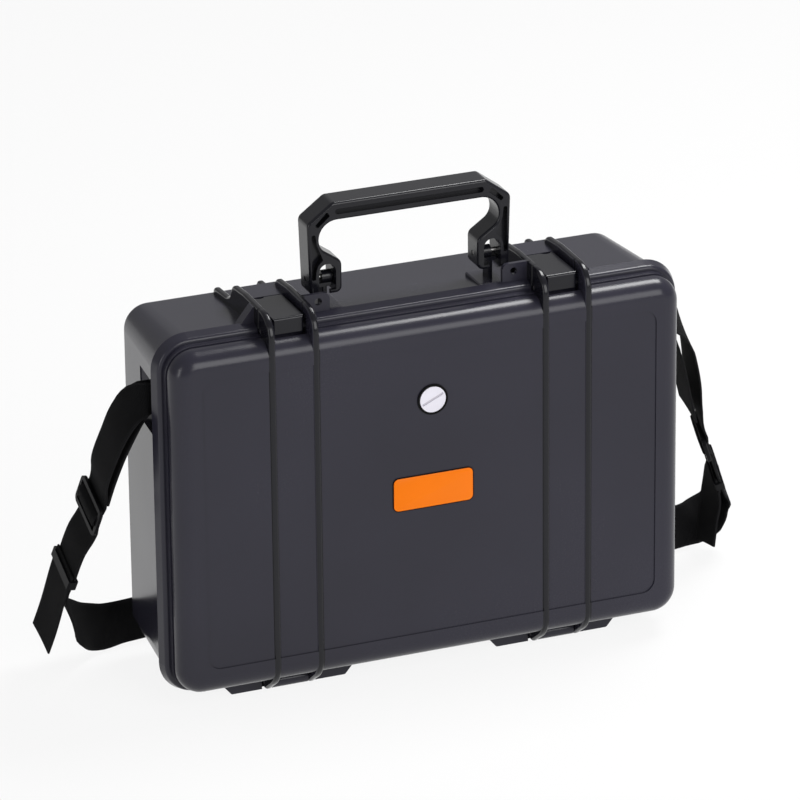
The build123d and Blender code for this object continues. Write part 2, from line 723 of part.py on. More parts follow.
def slider(station):
    """Flat buckle with two slots that the webbing weaves through."""
    point, across, along, _, width = station
    plane = Plane(origin=point, x_dir=across, z_dir=along.cross(across))
    outline = RectangleRounded(width + 2 * slider_side, slider_length, slider_corner)
    slot = RectangleRounded(width + slider_play, slider_slot, slider_slot_corner)
    middle = (slider_bar + slider_slot) / 2
    outline = outline - Pos(0, middle) * slot - Pos(0, -middle) * slot
    body = extrude(plane * outline, amount=slider_thickness / 2, both=True)
    return fillet(body.faces().sort_by(SortBy.AREA)[-1].edges(), slider_rounding)


def keeper(station):
    """Loop round two layers of webbing, the second on the outward side of the first."""
    point, across, along, out, width = station
    middle = point + out * (web_thickness + web_play) / 2
    plane = Plane(origin=middle, x_dir=across, z_dir=along)
    room = 2 * web_thickness + 3 * web_play
    inner = RectangleRounded(width + 2 * web_play, room, web_play)
    outer = RectangleRounded(width + 2 * (web_play + keeper_wall), room + 2 * keeper_wall, keeper_wall)
    return extrude(plane * (outer - inner), amount=keeper_length / 2, both=True)


def bar_wrap(side, z, width):
    """Webbing stations round a strap bar, from its front to its back."""
    reach = bar_radius + web_thickness / 2 + web_play
    stations = []
    for i in range(wrap_spans + 1):
        turn = 180 * i / wrap_spans - 90
        x = side * (bar_x - reach * cos(radians(turn)))
        y = at(bar_depth) + reach * sin(radians(turn))
        stations.append(((x, y, z), (0, 0, 1), width))
    return stations


def side_webbing(side, lower, slider_at, upper, inner):
    """Webbing of one side: up through the slider, round the bar and back down inside."""
    station = frames([lower[-1], slider_at, upper[0]])[1]
    wrap = bar_wrap(side, bar_web_z, bar_web_width)
    return lower + through_slider(station) + upper + wrap + inner, station


def placed(side, stations):
    """Stations given by reach beyond the side wall, depth and height, put into the case's frame."""
    stretch = (bar_web_z - web_floor) / web_climb
    result = []
    for (reach, depth, height), across, width in stations:
        result.append(((side * (side_x + reach), at(depth), web_floor + (height - web_floor) * stretch),
                       across, width))
    return result


# Webbing stations: reach beyond the side wall, depth and height of the middle of the
# web, then its width direction and its width. The heights hold for a bar web_climb
# above web_floor and are stretched with it.
hang = (0.0, 0.93, 0.36)
left_low = placed(-1, [((52.3, 111, 95), hang, web_width),
                       ((46.4, 99, 124), hang, web_width)])
left_slider = placed(-1, [((39.4, 86, 157), hang, web_width)])[0]
left_up = placed(-1, [((34.9, 72, 190), hang, web_width),
                      ((29.4, 62, 217), hang, web_width),
                      ((21.9, 54, 240), (-0.05, 0.9, 0.43), 36), ((12.9, 48, 254), (0, 0.62, 0.78), 31),
                      ((3.4, 42.2, 258.5), (0, 0.1, 0.99), 26)])
left_down = placed(-1, [((3.4, 51.8, 257.5), (0, 0.1, 0.99), 26), ((9.4, 54, 250), (0, 0.62, 0.78), 31),
                        ((15.9, 57, 236), (-0.05, 0.9, 0.43), 36),
                        ((23.4, 63, 214), hang, web_width),
                        ((28.9, 71, 191), hang, web_width),
                        ((32.1, 78, 172), hang, web_width)])
left_tail_end = placed(-1, [((62.9, 128, 46), hang, web_width),
                            ((67.4, 134.5, 26), hang, web_width)])
right_low = placed(1, [((94.95, 137.4, 49.02), (0.1, 0.85, 0.5), web_width),
                       ((96.1, 135, 54.1), (0.1, 0.86, 0.49), web_width),
                       ((86.9, 126, 70), (0.12, 0.87, 0.48), web_width),
                       ((74.9, 115, 94), (0.12, 0.88, 0.46), web_width)])
right_slider = placed(1, [((59.4, 102, 122), (0.12, 0.9, 0.42), web_width)])[0]
right_up = placed(1, [((49.4, 94, 156), hang, web_width),
                      ((43.4, 86, 187), hang, web_width), ((33.4, 74, 219), (0, 0.9, 0.43), 36),
                      ((21.9, 60, 241), (0, 0.75, 0.66), 33), ((9.9, 48, 254), (0, 0.5, 0.86), 29),
                      ((3.4, 42, 257.2), (0, 0.03, 1), 25)])
right_down = placed(1, [((3.4, 52, 257), (0, 0.03, 1), 25), ((8.9, 57, 249), (0, 0.6, 0.8), 30),
                        ((16.9, 66, 231), (0, 0.85, 0.5), 35),
                        ((25.4, 75, 207), hang, web_width),
                        ((34.9, 85, 179), hang, web_width),
                        ((44.4, 93, 150), hang, web_width)])
right_tail_end = placed(1, [((82.7, 128.4, 66.4), (0.12, 0.87, 0.48), web_width),
                            ((81.9, 128.5, 51), hang, 34),
                            ((78.9, 127.5, 31), hang, 30),
                            ((75.4, 125, 12), hang, 30)])

# Behind the case the webbing lies on its edge on the floor: share of the way from the
# middle to the side wall, and depth.
rear_middle = [(-0.95, 152), (-0.74, 158), (-0.46, 161), (-0.14, 160), (0.21, 156), (0.56, 150),
               (0.88, 144)]
rear_left = placed(-1, [((52.35, 111.09, 94.77), hang, web_width),
                        ((55.4, 117.4, 79.5), hang, web_width),
                        ((48.9, 126, 54), (-0.1, 0.85, 0.5), web_width),
                        ((34.9, 136, 33), (0, 0.6, 0.8), web_width),
                        ((15.9, 145, 22), (0, 0.2, 0.98), web_width)])
rear_right = placed(1, [((28.9, 143, 20), (0, 0, 1), web_width), ((63.9, 146, 21), (0, 0.1, 1), web_width),
                        ((81.9, 147, 25), (0, 0.5, 0.86), web_width),
                        ((91.9, 143.5, 36), (0, 0.8, 0.6), web_width),
                        ((94.9, 137.5, 48.8), (0.1, 0.85, 0.5), web_width)])
rear_run = list(rear_left)
for share, depth in rear_middle:
    rear_run.append(((share * side_x, at(depth), web_floor), (0, 0, 1), web_width))
rear_run += rear_right


def tail(at_keeper, end):
    """Loose end of webbing that lies on the run at a keeper and hangs free below it."""
    lift = web_thickness + web_play
    upper = shifted(at_keeper, along=keeper_length, outward=lift)
    lower = shifted(at_keeper, along=-keeper_length, outward=lift)
    return ribbon([upper, lower] + end)


def strap():
    """All webbing and the plastic pieces on it, by name."""
    pieces = {}
    left, left_at = side_webbing(-1, left_low, left_slider, left_up, left_down)
    right, right_at = side_webbing(1, right_low, right_slider, right_up, right_down)
    pieces["webbing_left"] = ribbon(left)
    pieces["webbing_right"] = ribbon(right)
    pieces["webbing_rear"] = ribbon(rear_run)
    pieces["slider_left"] = slider(left_at)
    pieces["slider_right"] = slider(right_at)
    at_left = frames([rear_run[1], left_low[0]])[1]
    at_right = frames(right_low[2:4])[1]
    below = Vector(*right_low[2][0])
    at_right = (below + (at_right[0] - below) * keeper_share,) + at_right[1:]
    pieces["webbing_tail_left"] = tail(at_left, left_tail_end)
    pieces["webbing_tail_right"] = tail(at_right, right_tail_end)
    pieces["keeper_left"] = keeper(at_left)
    pieces["keeper_right"] = keeper(at_right)
    return pieces


# ---------------------------------------------------------------- assembly
nodes["lid_shell"] = lid_shell()
nodes["base_shell"] = base_shell()
nodes["seal_ring"] = seal(seal_sink + seal_proud, seal_width, base_edge - seal_proud)
nodes["lid_foam"] = lid_foam()
nodes["base_foam"] = base_foam()
nodes["handle"] = handle()
nodes["valve_body"], nodes["valve_disc"], nodes["valve_nut"] = valve_parts()
nodes["front_plate"] = front_plate(plate_width, plate_height, plate_corner, middle_z,
                                   panel_depth - plate_thickness, panel_depth)
pairs = {
    "latch": latch(),
    "latch_pin": rod_x(latch_pin_radius, inner_rib_x - rib_width / 2, outer_rib_x + rib_width / 2,
                       latch_pivot_depth, latch_pivot_z),
    "hinge_pin": rod_x(hinge_pin_radius, inner_rib_x - rib_width / 2, outer_rib_x + rib_width / 2,
                       hinge_depth, hinge_height),
    "handle_bracket": handle_bracket(),
    "handle_pin": rod_x(handle_pin_radius, lobe_inner_x + handle_pin_inset,
                        handle_leg_bottom_x - handle_pin_inset, handle_pivot_depth, handle_pivot_z),
    "strap_bar": bar(0),
}
for name, solid in pairs.items():
    nodes[name + "_right"] = solid
    nodes[name + "_left"] = mirrored(solid)

nodes.update(strap())

os.makedirs("parts", exist_ok=True)
for name, solid in nodes.items():
    export_step(solid, "parts/" + name + ".step")
    box = solid.bounding_box()
    print(name, len(solid.solids()), round(solid.volume / 1000, 2), "cm3", box.min, box.max)
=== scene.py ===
from math import cos, pi, radians, sin

import bmesh
import bpy
from mathutils import Matrix, Vector


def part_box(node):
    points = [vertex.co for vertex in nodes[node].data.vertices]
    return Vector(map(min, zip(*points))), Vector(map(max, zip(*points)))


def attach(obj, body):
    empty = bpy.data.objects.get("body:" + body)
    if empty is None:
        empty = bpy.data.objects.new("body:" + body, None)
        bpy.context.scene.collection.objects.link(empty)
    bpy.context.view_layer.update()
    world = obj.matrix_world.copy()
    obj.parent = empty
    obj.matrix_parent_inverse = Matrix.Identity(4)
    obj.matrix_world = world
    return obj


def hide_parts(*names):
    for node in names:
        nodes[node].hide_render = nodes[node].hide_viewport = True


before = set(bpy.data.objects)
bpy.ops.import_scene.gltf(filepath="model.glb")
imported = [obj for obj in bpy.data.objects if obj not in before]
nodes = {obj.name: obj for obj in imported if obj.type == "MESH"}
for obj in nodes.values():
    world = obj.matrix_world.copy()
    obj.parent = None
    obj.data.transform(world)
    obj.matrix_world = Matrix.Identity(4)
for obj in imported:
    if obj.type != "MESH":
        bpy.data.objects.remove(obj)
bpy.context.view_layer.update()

bl_info = {
    "name": "Hard Laptop Case",
    "version": (1, 0, 0),
    "blender": (4, 5, 0),
    "location": "View3D > Sidebar > Laptop Case",
    "description": "Finishes, strap, foam and small parts of a hard laptop case",
    "category": "Object",
}

MM = 0.001


# ---------------------------------------------------------------- settings
class CaseColours(bpy.types.PropertyGroup):
    shell: bpy.props.FloatVectorProperty(
        name="Shell", description="Moulded lid and base", subtype="COLOR",
        default=(0.0225, 0.0215, 0.0330), min=0.0, max=1.0)
    fittings: bpy.props.FloatVectorProperty(
        name="Fittings", description="Latches, handle and its posts", subtype="COLOR",
        default=(0.0072, 0.0072, 0.0104), min=0.0, max=1.0)
    plate: bpy.props.FloatVectorProperty(
        name="Front plate", description="Bare plate on the lid", subtype="COLOR",
        default=(1.0, 0.21, 0.002), min=0.0, max=1.0)
    disc: bpy.props.FloatVectorProperty(
        name="Valve disc", description="Turning disc of the pressure valve", subtype="COLOR",
        default=(0.80, 0.78, 0.86), min=0.0, max=1.0)
    webbing: bpy.props.FloatVectorProperty(
        name="Webbing", description="Woven shoulder strap", subtype="COLOR",
        default=(0.0062, 0.0062, 0.0068), min=0.0, max=1.0)
    foam: bpy.props.FloatVectorProperty(
        name="Foam", description="Foam tray and lid pad", subtype="COLOR",
        default=(0.035, 0.035, 0.04), min=0.0, max=1.0)
    steel: bpy.props.FloatVectorProperty(
        name="Steel", description="Pins and strap bars", subtype="COLOR",
        default=(0.56, 0.55, 0.54), min=0.0, max=1.0)


class CaseStrap(bpy.types.PropertyGroup):
    thickness: bpy.props.FloatProperty(
        name="Thickness", description="Thickness of the webbing", default=1.7 * MM,
        min=0.5 * MM, max=4 * MM, subtype="DISTANCE", unit="LENGTH")
    width: bpy.props.FloatProperty(
        name="Width", description="Width of the webbing laid flat", default=38 * MM,
        min=15 * MM, max=60 * MM, subtype="DISTANCE", unit="LENGTH")
    crown: bpy.props.FloatProperty(
        name="Crown", description="How far the middle of the webbing bows out of its edges",
        default=0.5 * MM, min=0.0, max=3 * MM, subtype="DISTANCE", unit="LENGTH")
    row: bpy.props.FloatProperty(
        name="Row length", description="Length of one row of faces along the webbing",
        default=5 * MM, min=1 * MM, max=20 * MM, subtype="DISTANCE", unit="LENGTH")


class CasePlate(bpy.types.PropertyGroup):
    corner: bpy.props.FloatProperty(
        name="Corner", description="Corner radius of the front plate", default=4.8 * MM,
        min=0.2 * MM, max=10 * MM, subtype="DISTANCE", unit="LENGTH")
    # the rim is coloured near black: a painted shadow line round the plate
    rim: bpy.props.FloatProperty(
        name="Rim", description="Width of the plate's dark rim", default=0.5 * MM,
        min=0.2 * MM, max=4 * MM, subtype="DISTANCE", unit="LENGTH")
    groove: bpy.props.FloatProperty(
        name="Groove", description="Width of each side of the groove round the field",
        default=0.25 * MM, min=0.1 * MM, max=1 * MM, subtype="DISTANCE", unit="LENGTH")
    sink: bpy.props.FloatProperty(
        name="Sink", description="Depth of the groove round the field", default=0.2 * MM,
        min=0.0, max=0.6 * MM, subtype="DISTANCE", unit="LENGTH")
    edge: bpy.props.FloatProperty(
        name="Edge", description="Rounding of the plate's edges", default=0.12 * MM,
        min=0.02 * MM, max=0.4 * MM, subtype="DISTANCE", unit="LENGTH")


class CaseValve(bpy.types.PropertyGroup):
    thickness: bpy.props.FloatProperty(
        name="Thickness", description="Thickness of the turning disc", default=1.2 * MM,
        min=1 * MM, max=5 * MM, subtype="DISTANCE", unit="LENGTH")
    rim: bpy.props.FloatProperty(
        name="Rim", description="Width of the disc's flat rim", default=0.9 * MM,
        min=0.2 * MM, max=3 * MM, subtype="DISTANCE", unit="LENGTH")
    dish: bpy.props.FloatProperty(
        name="Dish", description="Depth of the dish inside the rim", default=0.25 * MM,
        min=0.0, max=1 * MM, subtype="DISTANCE", unit="LENGTH")
    stem: bpy.props.FloatProperty(
        name="Stem", description="Radius of the stem behind the disc", default=3.0 * MM,
        min=1 * MM, max=6 * MM, subtype="DISTANCE", unit="LENGTH")
    slot_width: bpy.props.FloatProperty(
        name="Slot width", description="Width of the coin slot", default=1.9 * MM,
        min=0.5 * MM, max=4 * MM, subtype="DISTANCE", unit="LENGTH")
    slot_depth: bpy.props.FloatProperty(
        name="Slot depth", description="Depth of the coin slot", default=0.95 * MM,
        min=0.2 * MM, max=2 * MM, subtype="DISTANCE", unit="LENGTH")
    turn: bpy.props.FloatProperty(
        name="Slot turn", description="Turn of the coin slot from level, up to the right",
        default=radians(25), subtype="ANGLE", unit="ROTATION")
    edge: bpy.props.FloatProperty(
        name="Edge", description="Rounding of the disc's edges", default=0.15 * MM,
        min=0.02 * MM, max=0.5 * MM, subtype="DISTANCE", unit="LENGTH")


class CaseFoam(bpy.types.PropertyGroup):
    mesh: bpy.props.FloatProperty(
        name="Mesh", description="Size of the faces of the foam's mesh", default=4 * MM,
        min=2 * MM, max=12 * MM, subtype="DISTANCE", unit="LENGTH")
    wave: bpy.props.FloatProperty(
        name="Wave", description="Distance between two hills of the egg-crate pad", default=30 * MM,
        min=12 * MM, max=80 * MM, subtype="DISTANCE", unit="LENGTH")
    valley: bpy.props.FloatProperty(
        name="Valley", description="Depth between the hills of the egg-crate pad", default=7.5 * MM,
        min=0.0, max=12 * MM, subtype="DISTANCE", unit="LENGTH")


class CaseStage(bpy.types.PropertyGroup):
    floor: bpy.props.FloatVectorProperty(
        name="Floor", description="Plain pale floor", subtype="COLOR",
        default=(0.86, 0.86, 0.86), min=0.0, max=1.0)
    paleness: bpy.props.FloatProperty(
        name="Paleness", description="Share of the pale surroundings that shows through the floor",
        default=0.88, min=0.0, max=1.0)
    fill: bpy.props.FloatProperty(
        name="Fill", description="Strength of the even light from all round", default=0.26,
        min=0.0, max=2.0)
    mirrored: bpy.props.FloatProperty(
        name="Mirrored surroundings", description="Strength of the surroundings in glossy surfaces",
        default=0.4, min=0.0, max=1.0)
    front_power: bpy.props.FloatProperty(
        name="Front light", description="Power of the broad soft lamp in front",
        default=30.0, min=0.0, max=500.0, subtype="POWER")
    line_power: bpy.props.FloatProperty(
        name="Line light", description="Power of the lamp overhead, which gives the bright edges",
        default=34.0, min=0.0, max=500.0, subtype="POWER")
    left_power: bpy.props.FloatProperty(
        name="Left light", description="Power of the upright soft lamp at the front left",
        default=11.0, min=0.0, max=500.0, subtype="POWER")
    back_power: bpy.props.FloatProperty(
        name="Back light", description="Power of the soft lamp behind and above",
        default=1.0, min=0.0, max=500.0, subtype="POWER")
    camera_distance: bpy.props.FloatProperty(
        name="Camera distance", description="From the camera to the point it looks at",
        default=4.554, min=0.5, max=20.0, subtype="DISTANCE", unit="LENGTH")
    azimuth: bpy.props.FloatProperty(
        name="Camera azimuth", description="Turn of the view about the upright axis",
        default=radians(21.44), subtype="ANGLE", unit="ROTATION")
    elevation: bpy.props.FloatProperty(
        name="Camera elevation", description="Height of the view above the floor's plane",
        default=radians(23.03), subtype="ANGLE", unit="ROTATION")
    roll: bpy.props.FloatProperty(
        name="Camera roll", description="Turn of the view about its own axis",
        default=radians(-0.62), subtype="ANGLE", unit="ROTATION")


def settings(name):
    return getattr(bpy.context.scene, name)


# ---------------------------------------------------------------- shader helpers
USUAL_NOISE = (0.3, 0.7)    # where most values of a noise lie
SURFACE_OUTPUTS = (("Color", "Color"), ("Roughness", "Float"), ("Height", "Float"))
COLOUR_MIX_INPUTS = (0, 6, 7)    # a Mix node's factor and its two colours
COLOUR_MIX_OUTPUT = 2


def new_group(name, inputs, outputs):
    """Empty shader node group with named sockets: (name, kind, default)."""
    group = bpy.data.node_groups.new(name, "ShaderNodeTree")
    for socket, kind, default in inputs:
        made = group.interface.new_socket(socket, in_out="INPUT", socket_type="NodeSocket" + kind)
        if default is not None:
            made.default_value = default
    for socket, kind in outputs:
        group.interface.new_socket(socket, in_out="OUTPUT", socket_type="NodeSocket" + kind)
    tools = Nodes(group)
    return tools, tools.add("NodeGroupInput"), tools.add("NodeGroupOutput")


class Nodes:
    """Shorthand for adding and joining the nodes of one tree."""

    def __init__(self, tree):
        self.tree = tree

    def add(self, kind, **values):
        node = self.tree.nodes.new(kind if kind.startswith("Node") else "ShaderNode" + kind)
        for key, value in values.items():
            setattr(node, key, value)
        return node

    def put(self, value, socket):
        """Sets a node's input, or joins it to another node's output."""
        if isinstance(value, bpy.types.NodeSocket):
            self.tree.links.new(value, socket)
        else:
            socket.default_value = value

    def feed(self, node, **inputs):
        """Fills a node's inputs by name; underscores stand for spaces."""
        for key, value in inputs.items():
            self.put(value, node.inputs[key.replace("_", " ")])
        return node

    def fill(self, node, *values, slots=(0, 1, 2)):
        """Fills a node's inputs by number."""
        for slot, value in zip(slots, values):
            self.put(value, node.inputs[slot])
        return node

    def math(self, operation, *values):
        return self.fill(self.add("Math", operation=operation), *values).outputs[0]

    def noise(self, vector, scale, detail=2.0, rough=0.5):
        node = self.add("TexNoise")
        return self.feed(node, Vector=vector, Scale=scale, Detail=detail, Roughness=rough).outputs["Fac"]

    def span(self, value, low, high, out_low=0.0, out_high=1.0):
        """Maps a value from one range to another, clamped."""
        node = self.add("MapRange")
        self.feed(node, Value=value, From_Min=low, From_Max=high, To_Min=out_low, To_Max=out_high)
        return node.outputs["Result"]

    def swing(self, value, middle, reach):
        """Maps the usual range of a noise to a middle value plus or minus a reach."""
        return self.span(value, *USUAL_NOISE, middle - reach, middle + reach)

    def stretched(self, vector, scale):
        """Scales a place by a factor for each direction."""
        return self.feed(self.add("Mapping"), Vector=vector, Scale=scale).outputs[0]

    def scaled(self, colour, factor):
        """Multiplies a colour by a value."""
        node = self.fill(self.add("VectorMath", operation="SCALE"), colour)
        return self.feed(node, Scale=factor).outputs[0]

    def parts(self, vector):
        """The separate coordinates of a vector."""
        return self.fill(self.add("SeparateXYZ"), vector).outputs

    def blended(self, factor, below, above):
        """Mixes two shaders by a factor."""
        return self.fill(self.add("MixShader"), factor, below, above).outputs[0]

    def tint(self, factor, a, b):
        """Mixes two colours by a factor."""
        node = self.add("Mix", data_type="RGBA")
        return self.fill(node, factor, a, b, slots=COLOUR_MIX_INPUTS).outputs[COLOUR_MIX_OUTPUT]


def surface_group(name, *extra):
    """Empty effect group with the sockets that all surface effects share."""
    inputs = [("Vector", "Vector", None), ("Color", "Color", (0.02, 0.02, 0.02, 1)), *extra]
    return new_group(name, inputs, SURFACE_OUTPUTS)


def moulded_grain():
    """Spark-eroded mould texture, slow drift of tone and a trace of handling marks."""
    drift_scale, streak_scale, streak_stretch = 7.0, 3.0, (60.0, 60.0, 9.0)
    mark_range, mark_dulling = (0.62, 0.78), 0.12
    tone_reach, gloss_reach = 0.1, 0.03
    n, given, result = surface_group("moulded_grain", ("Roughness", "Float", 0.35),
                                     ("Grain Size", "Float", 0.6), ("Marks", "Float", 0.3))
    vector = given.outputs["Vector"]
    fine = n.math("DIVIDE", 1 / MM, given.outputs["Grain Size"])
    grain = n.noise(vector, fine, detail=3.0, rough=0.6)
    drift = n.noise(vector, drift_scale)
    streak = n.noise(n.stretched(vector, streak_stretch), streak_scale, detail=4.0, rough=0.7)
    marks = n.math("MULTIPLY", n.span(streak, *mark_range), given.outputs["Marks"])
    rough = n.math("ADD", given.outputs["Roughness"], n.swing(drift, 0.0, gloss_reach))
    rough = n.math("ADD", rough, n.swing(grain, 0.0, gloss_reach))
    rough = n.math("ADD", rough, n.math("MULTIPLY", marks, mark_dulling))
    colour = n.scaled(given.outputs["Color"], n.swing(drift, 1.0, tone_reach))
    n.feed(result, Color=colour, Roughness=rough, Height=grain)
    return n.tree


def rib_mask():
    """Marks the long ribs by their distance from the middle of the case, in metres."""
    inputs = [("Vector", "Vector", None), ("Inner Rib", "Float", 95.6 * MM),
              ("Outer Rib", "Float", 132.4 * MM), ("Half Width", "Float", 2.6 * MM)]
    n, given, result = new_group("rib_mask", inputs, [("Mask", "Float")])
    out = n.math("ABSOLUTE", n.parts(given.outputs["Vector"])[0])
    inner = n.math("ABSOLUTE", n.math("SUBTRACT", out, given.outputs["Inner Rib"]))
    outer = n.math("ABSOLUTE", n.math("SUBTRACT", out, given.outputs["Outer Rib"]))
    near = n.math("MINIMUM", inner, outer)
    n.feed(result, Mask=n.math("LESS_THAN", near, given.outputs["Half Width"]))
    return n.tree


def woven_web():
    """Plain weave that follows the webbing's own UV map, in metres, with paler selvedges, painted shade in
    the dips between the yarns and painted highlight on their crests.
    """
    weave_share, yarn_share, cross_share = 0.6, 0.6, 0.08
    fuzz_scale, fuzz_share, fuzz_range, rough_range = 2600.0, 0.35, (0.2, 0.8), (0.75, 0.95)
    wear_scale, wear_gain, wear_reach = 35.0, 0.05, 0.2
    weave_range, tone_range, edge_gain = (0.2, 1.0), (0.55, 1.35), 0.6
    n, given, result = surface_group("woven_web", ("Rib Pitch", "Float", 1.15),
                                     ("Yarn Pitch", "Float", 0.85), ("Half Width", "Float", 19 * MM),
                                     ("Selvedge", "Float", 2.4 * MM))
    vector = given.outputs["Vector"]
    across, along = n.parts(vector)[:2]
    turn = 2 * pi / MM
    rib = n.math("DIVIDE", n.math("MULTIPLY", along, turn), given.outputs["Rib Pitch"])
    yarn = n.math("DIVIDE", n.math("MULTIPLY", across, turn), given.outputs["Yarn Pitch"])
    ribs = n.math("ABSOLUTE", n.math("SINE", n.math("MULTIPLY", rib, 0.5)))
    yarns = n.math("ABSOLUTE", n.math("SINE", n.math("MULTIPLY", yarn, 0.5)))
    cross = n.math("SIGN", n.math("MULTIPLY", n.math("SINE", rib), n.math("SINE", yarn)))
    weave = n.math("MULTIPLY", n.math("ADD", ribs, n.math("MULTIPLY", yarns, yarn_share)), weave_share)
    weave = n.math("ADD", weave, n.math("MULTIPLY", cross, cross_share))
    fuzz = n.noise(vector, fuzz_scale, rough=0.7)
    height = n.math("ADD", weave, n.math("MULTIPLY", fuzz, fuzz_share))
    wear = n.swing(n.noise(vector, wear_scale, detail=3.0), wear_gain, wear_reach)
    # painted light and shade: the weave's crests are lighter and its dips darker
    tone = n.math("ADD", n.span(weave, *weave_range, *tone_range), wear)
    inside = n.math("SUBTRACT", given.outputs["Half Width"], given.outputs["Selvedge"])
    edge = n.math("GREATER_THAN", n.math("ABSOLUTE", across), inside)
    tone = n.math("ADD", tone, n.math("MULTIPLY", edge, edge_gain))
    n.feed(result, Color=n.scaled(given.outputs["Color"], tone),
           Roughness=n.span(fuzz, *fuzz_range, *rough_range), Height=height)
    return n.tree


def foam_cells():
    """Open cells of dense foam in two sizes, with painted shade in the bottoms of the cells."""
    fine_ratio, fine_share = 2.3, 0.4
    cell_range = (0.2, 0.9)    # from the bottom of a cell to its rim
    # painted shade: the colour is darker towards the bottom of each cell
    tone_range, rough_range = (0.6, 1.25), (0.85, 1.0)
    n, given, result = surface_group("foam_cells", ("Cell Size", "Float", 1.2))
    vector = given.outputs["Vector"]
    scale = n.math("DIVIDE", 1 / MM, given.outputs["Cell Size"])
    cells = n.feed(n.add("TexVoronoi"), Vector=vector, Scale=scale).outputs["Distance"]
    fine = n.noise(vector, n.math("MULTIPLY", scale, fine_ratio))
    height = n.math("ADD", cells, n.math("MULTIPLY", fine, fine_share))
    n.feed(result, Color=n.scaled(given.outputs["Color"], n.span(height, *cell_range, *tone_range)),
           Roughness=n.span(height, *cell_range, *rough_range), Height=height)
    return n.tree


def drawn_metal():
    """Fine drawing lines along a bar, and slow variation of gloss."""
    line_stretch, slow_scale = (2400.0, 2400.0, 120.0), 90.0
    tone_middle, tone_reach = 0.95, 0.13
    gloss_range, rough_range = (0.7, 1.3), (0.22, 0.42)
    n, given, result = surface_group("drawn_metal")
    vector = given.outputs["Vector"]
    line = n.noise(n.stretched(vector, line_stretch), 1.0, detail=3.0, rough=0.6)
    slow = n.noise(vector, slow_scale, detail=3.0)
    n.feed(result, Color=n.scaled(given.outputs["Color"], n.swing(slow, tone_middle, tone_reach)),
           Roughness=n.span(n.math("ADD", line, slow), *gloss_range, *rough_range), Height=line)
    return n.tree


EFFECTS = {"moulded_grain": moulded_grain, "rib_mask": rib_mask, "woven_web": woven_web,
           "foam_cells": foam_cells, "drawn_metal": drawn_metal}


def effect(name):
    """Node group of an effect, built when it is first asked for."""
    return bpy.data.node_groups.get(name) or EFFECTS[name]()


# ---------------------------------------------------------------- finishes
RIB_POLISH = 0.09    # how much less rough the ribs are


def moulding(colour, roughness, grain, marks, specular=0.5, bump=0.1, depth=0.04 * MM):
    """Recipe of a finish with a moulded grain."""
    return dict(effect="moulded_grain", colour=colour, bump=bump, depth=depth,
                constants=dict(Specular_IOR_Level=specular),
                values=dict(Roughness=roughness, Grain_Size=grain, Marks=marks))


# A colour is given by its numbers or by the name of its setting.
FINISHES = {
    "satin_moulding": moulding("shell", roughness=0.24, grain=0.55, marks=0.3, specular=0.3),
    "fitting_moulding": moulding("fittings", roughness=0.20, grain=0.45, marks=0.2, specular=0.3,
                                 bump=0.12),
    "plate_lacquer": moulding("plate", roughness=0.36, grain=0.9, marks=0.15, specular=0.12,
                              bump=0.05, depth=0.03 * MM),
    # painted shadow: the dark rim round the front plate
    "plate_rim": moulding((0.004, 0.002, 0.001), roughness=0.4, grain=0.6, marks=0.1, specular=0.05,
                          bump=0.05, depth=0.03 * MM),
    "disc_moulding": moulding("disc", roughness=0.38, grain=0.5, marks=0.2),
    # painted shade on the floor of the coin slot
    "slot_shade": moulding((0.58, 0.56, 0.62), roughness=0.6, grain=0.5, marks=0.4),
    # near black, darker than the shell: partly the valve's own black, partly painted shadow in the gap
    # round the disc
    "black_moulding": moulding((0.002, 0.002, 0.002), roughness=0.4, grain=0.5, marks=0.2, specular=0.1),
    "buckle_moulding": moulding((0.005, 0.005, 0.006), roughness=0.38, grain=0.5, marks=0.3,
                                specular=0.06),
    "seal_rubber": moulding((0.012, 0.012, 0.012), roughness=0.72, grain=0.35, marks=0.0,
                            bump=0.25, depth=0.08 * MM),
    "drawn_steel": dict(effect="drawn_metal", colour="steel", bump=0.1, depth=0.03 * MM,
                        constants=dict(Metallic=1.0), values={}),
    "woven_webbing": dict(effect="woven_web", colour="webbing", bump=0.9, depth=0.35 * MM,
                          constants=dict(Sheen_Weight=0.02, Sheen_Roughness=0.4, Specular_IOR_Level=0.06),
                          values=dict(Rib_Pitch=1.15, Yarn_Pitch=0.85, Selvedge=2.4 * MM)),
    "open_foam": dict(effect="foam_cells", colour="foam", bump=0.7, depth=0.5 * MM,
                      constants={}, values=dict(Cell_Size=1.1)),
}


def finish(name):
    """Material whose colour, roughness and bump come from one effect group."""
    made = bpy.data.materials.get(name)
    if made:
        return made
    recipe = FINISHES[name]
    colour = recipe["colour"]
    if isinstance(colour, str):
        colour = getattr(settings("case_colours"), colour)
    made = bpy.data.materials.new(name)
    made.use_nodes = True
    n = Nodes(made.node_tree)
    shader = made.node_tree.nodes["Principled BSDF"]
    woven = recipe["effect"] == "woven_web"
    place = n.add("TexCoord").outputs["UV" if woven else "Object"]
    surface = n.add("Group", node_tree=effect(recipe["effect"]))
    n.feed(surface, Vector=place, Color=(*colour, 1.0), **recipe["values"])
    if woven:
        n.feed(surface, Half_Width=settings("case_strap").width / 2)
    relief = n.add("Bump")
    n.feed(relief, Strength=recipe["bump"], Distance=recipe["depth"], Height=surface.outputs["Height"])
    n.feed(shader, Base_Color=surface.outputs["Color"], Roughness=surface.outputs["Roughness"],
           Normal=relief.outputs["Normal"], **recipe["constants"])
    made.diffuse_color = (*colour, 1.0)
    return made


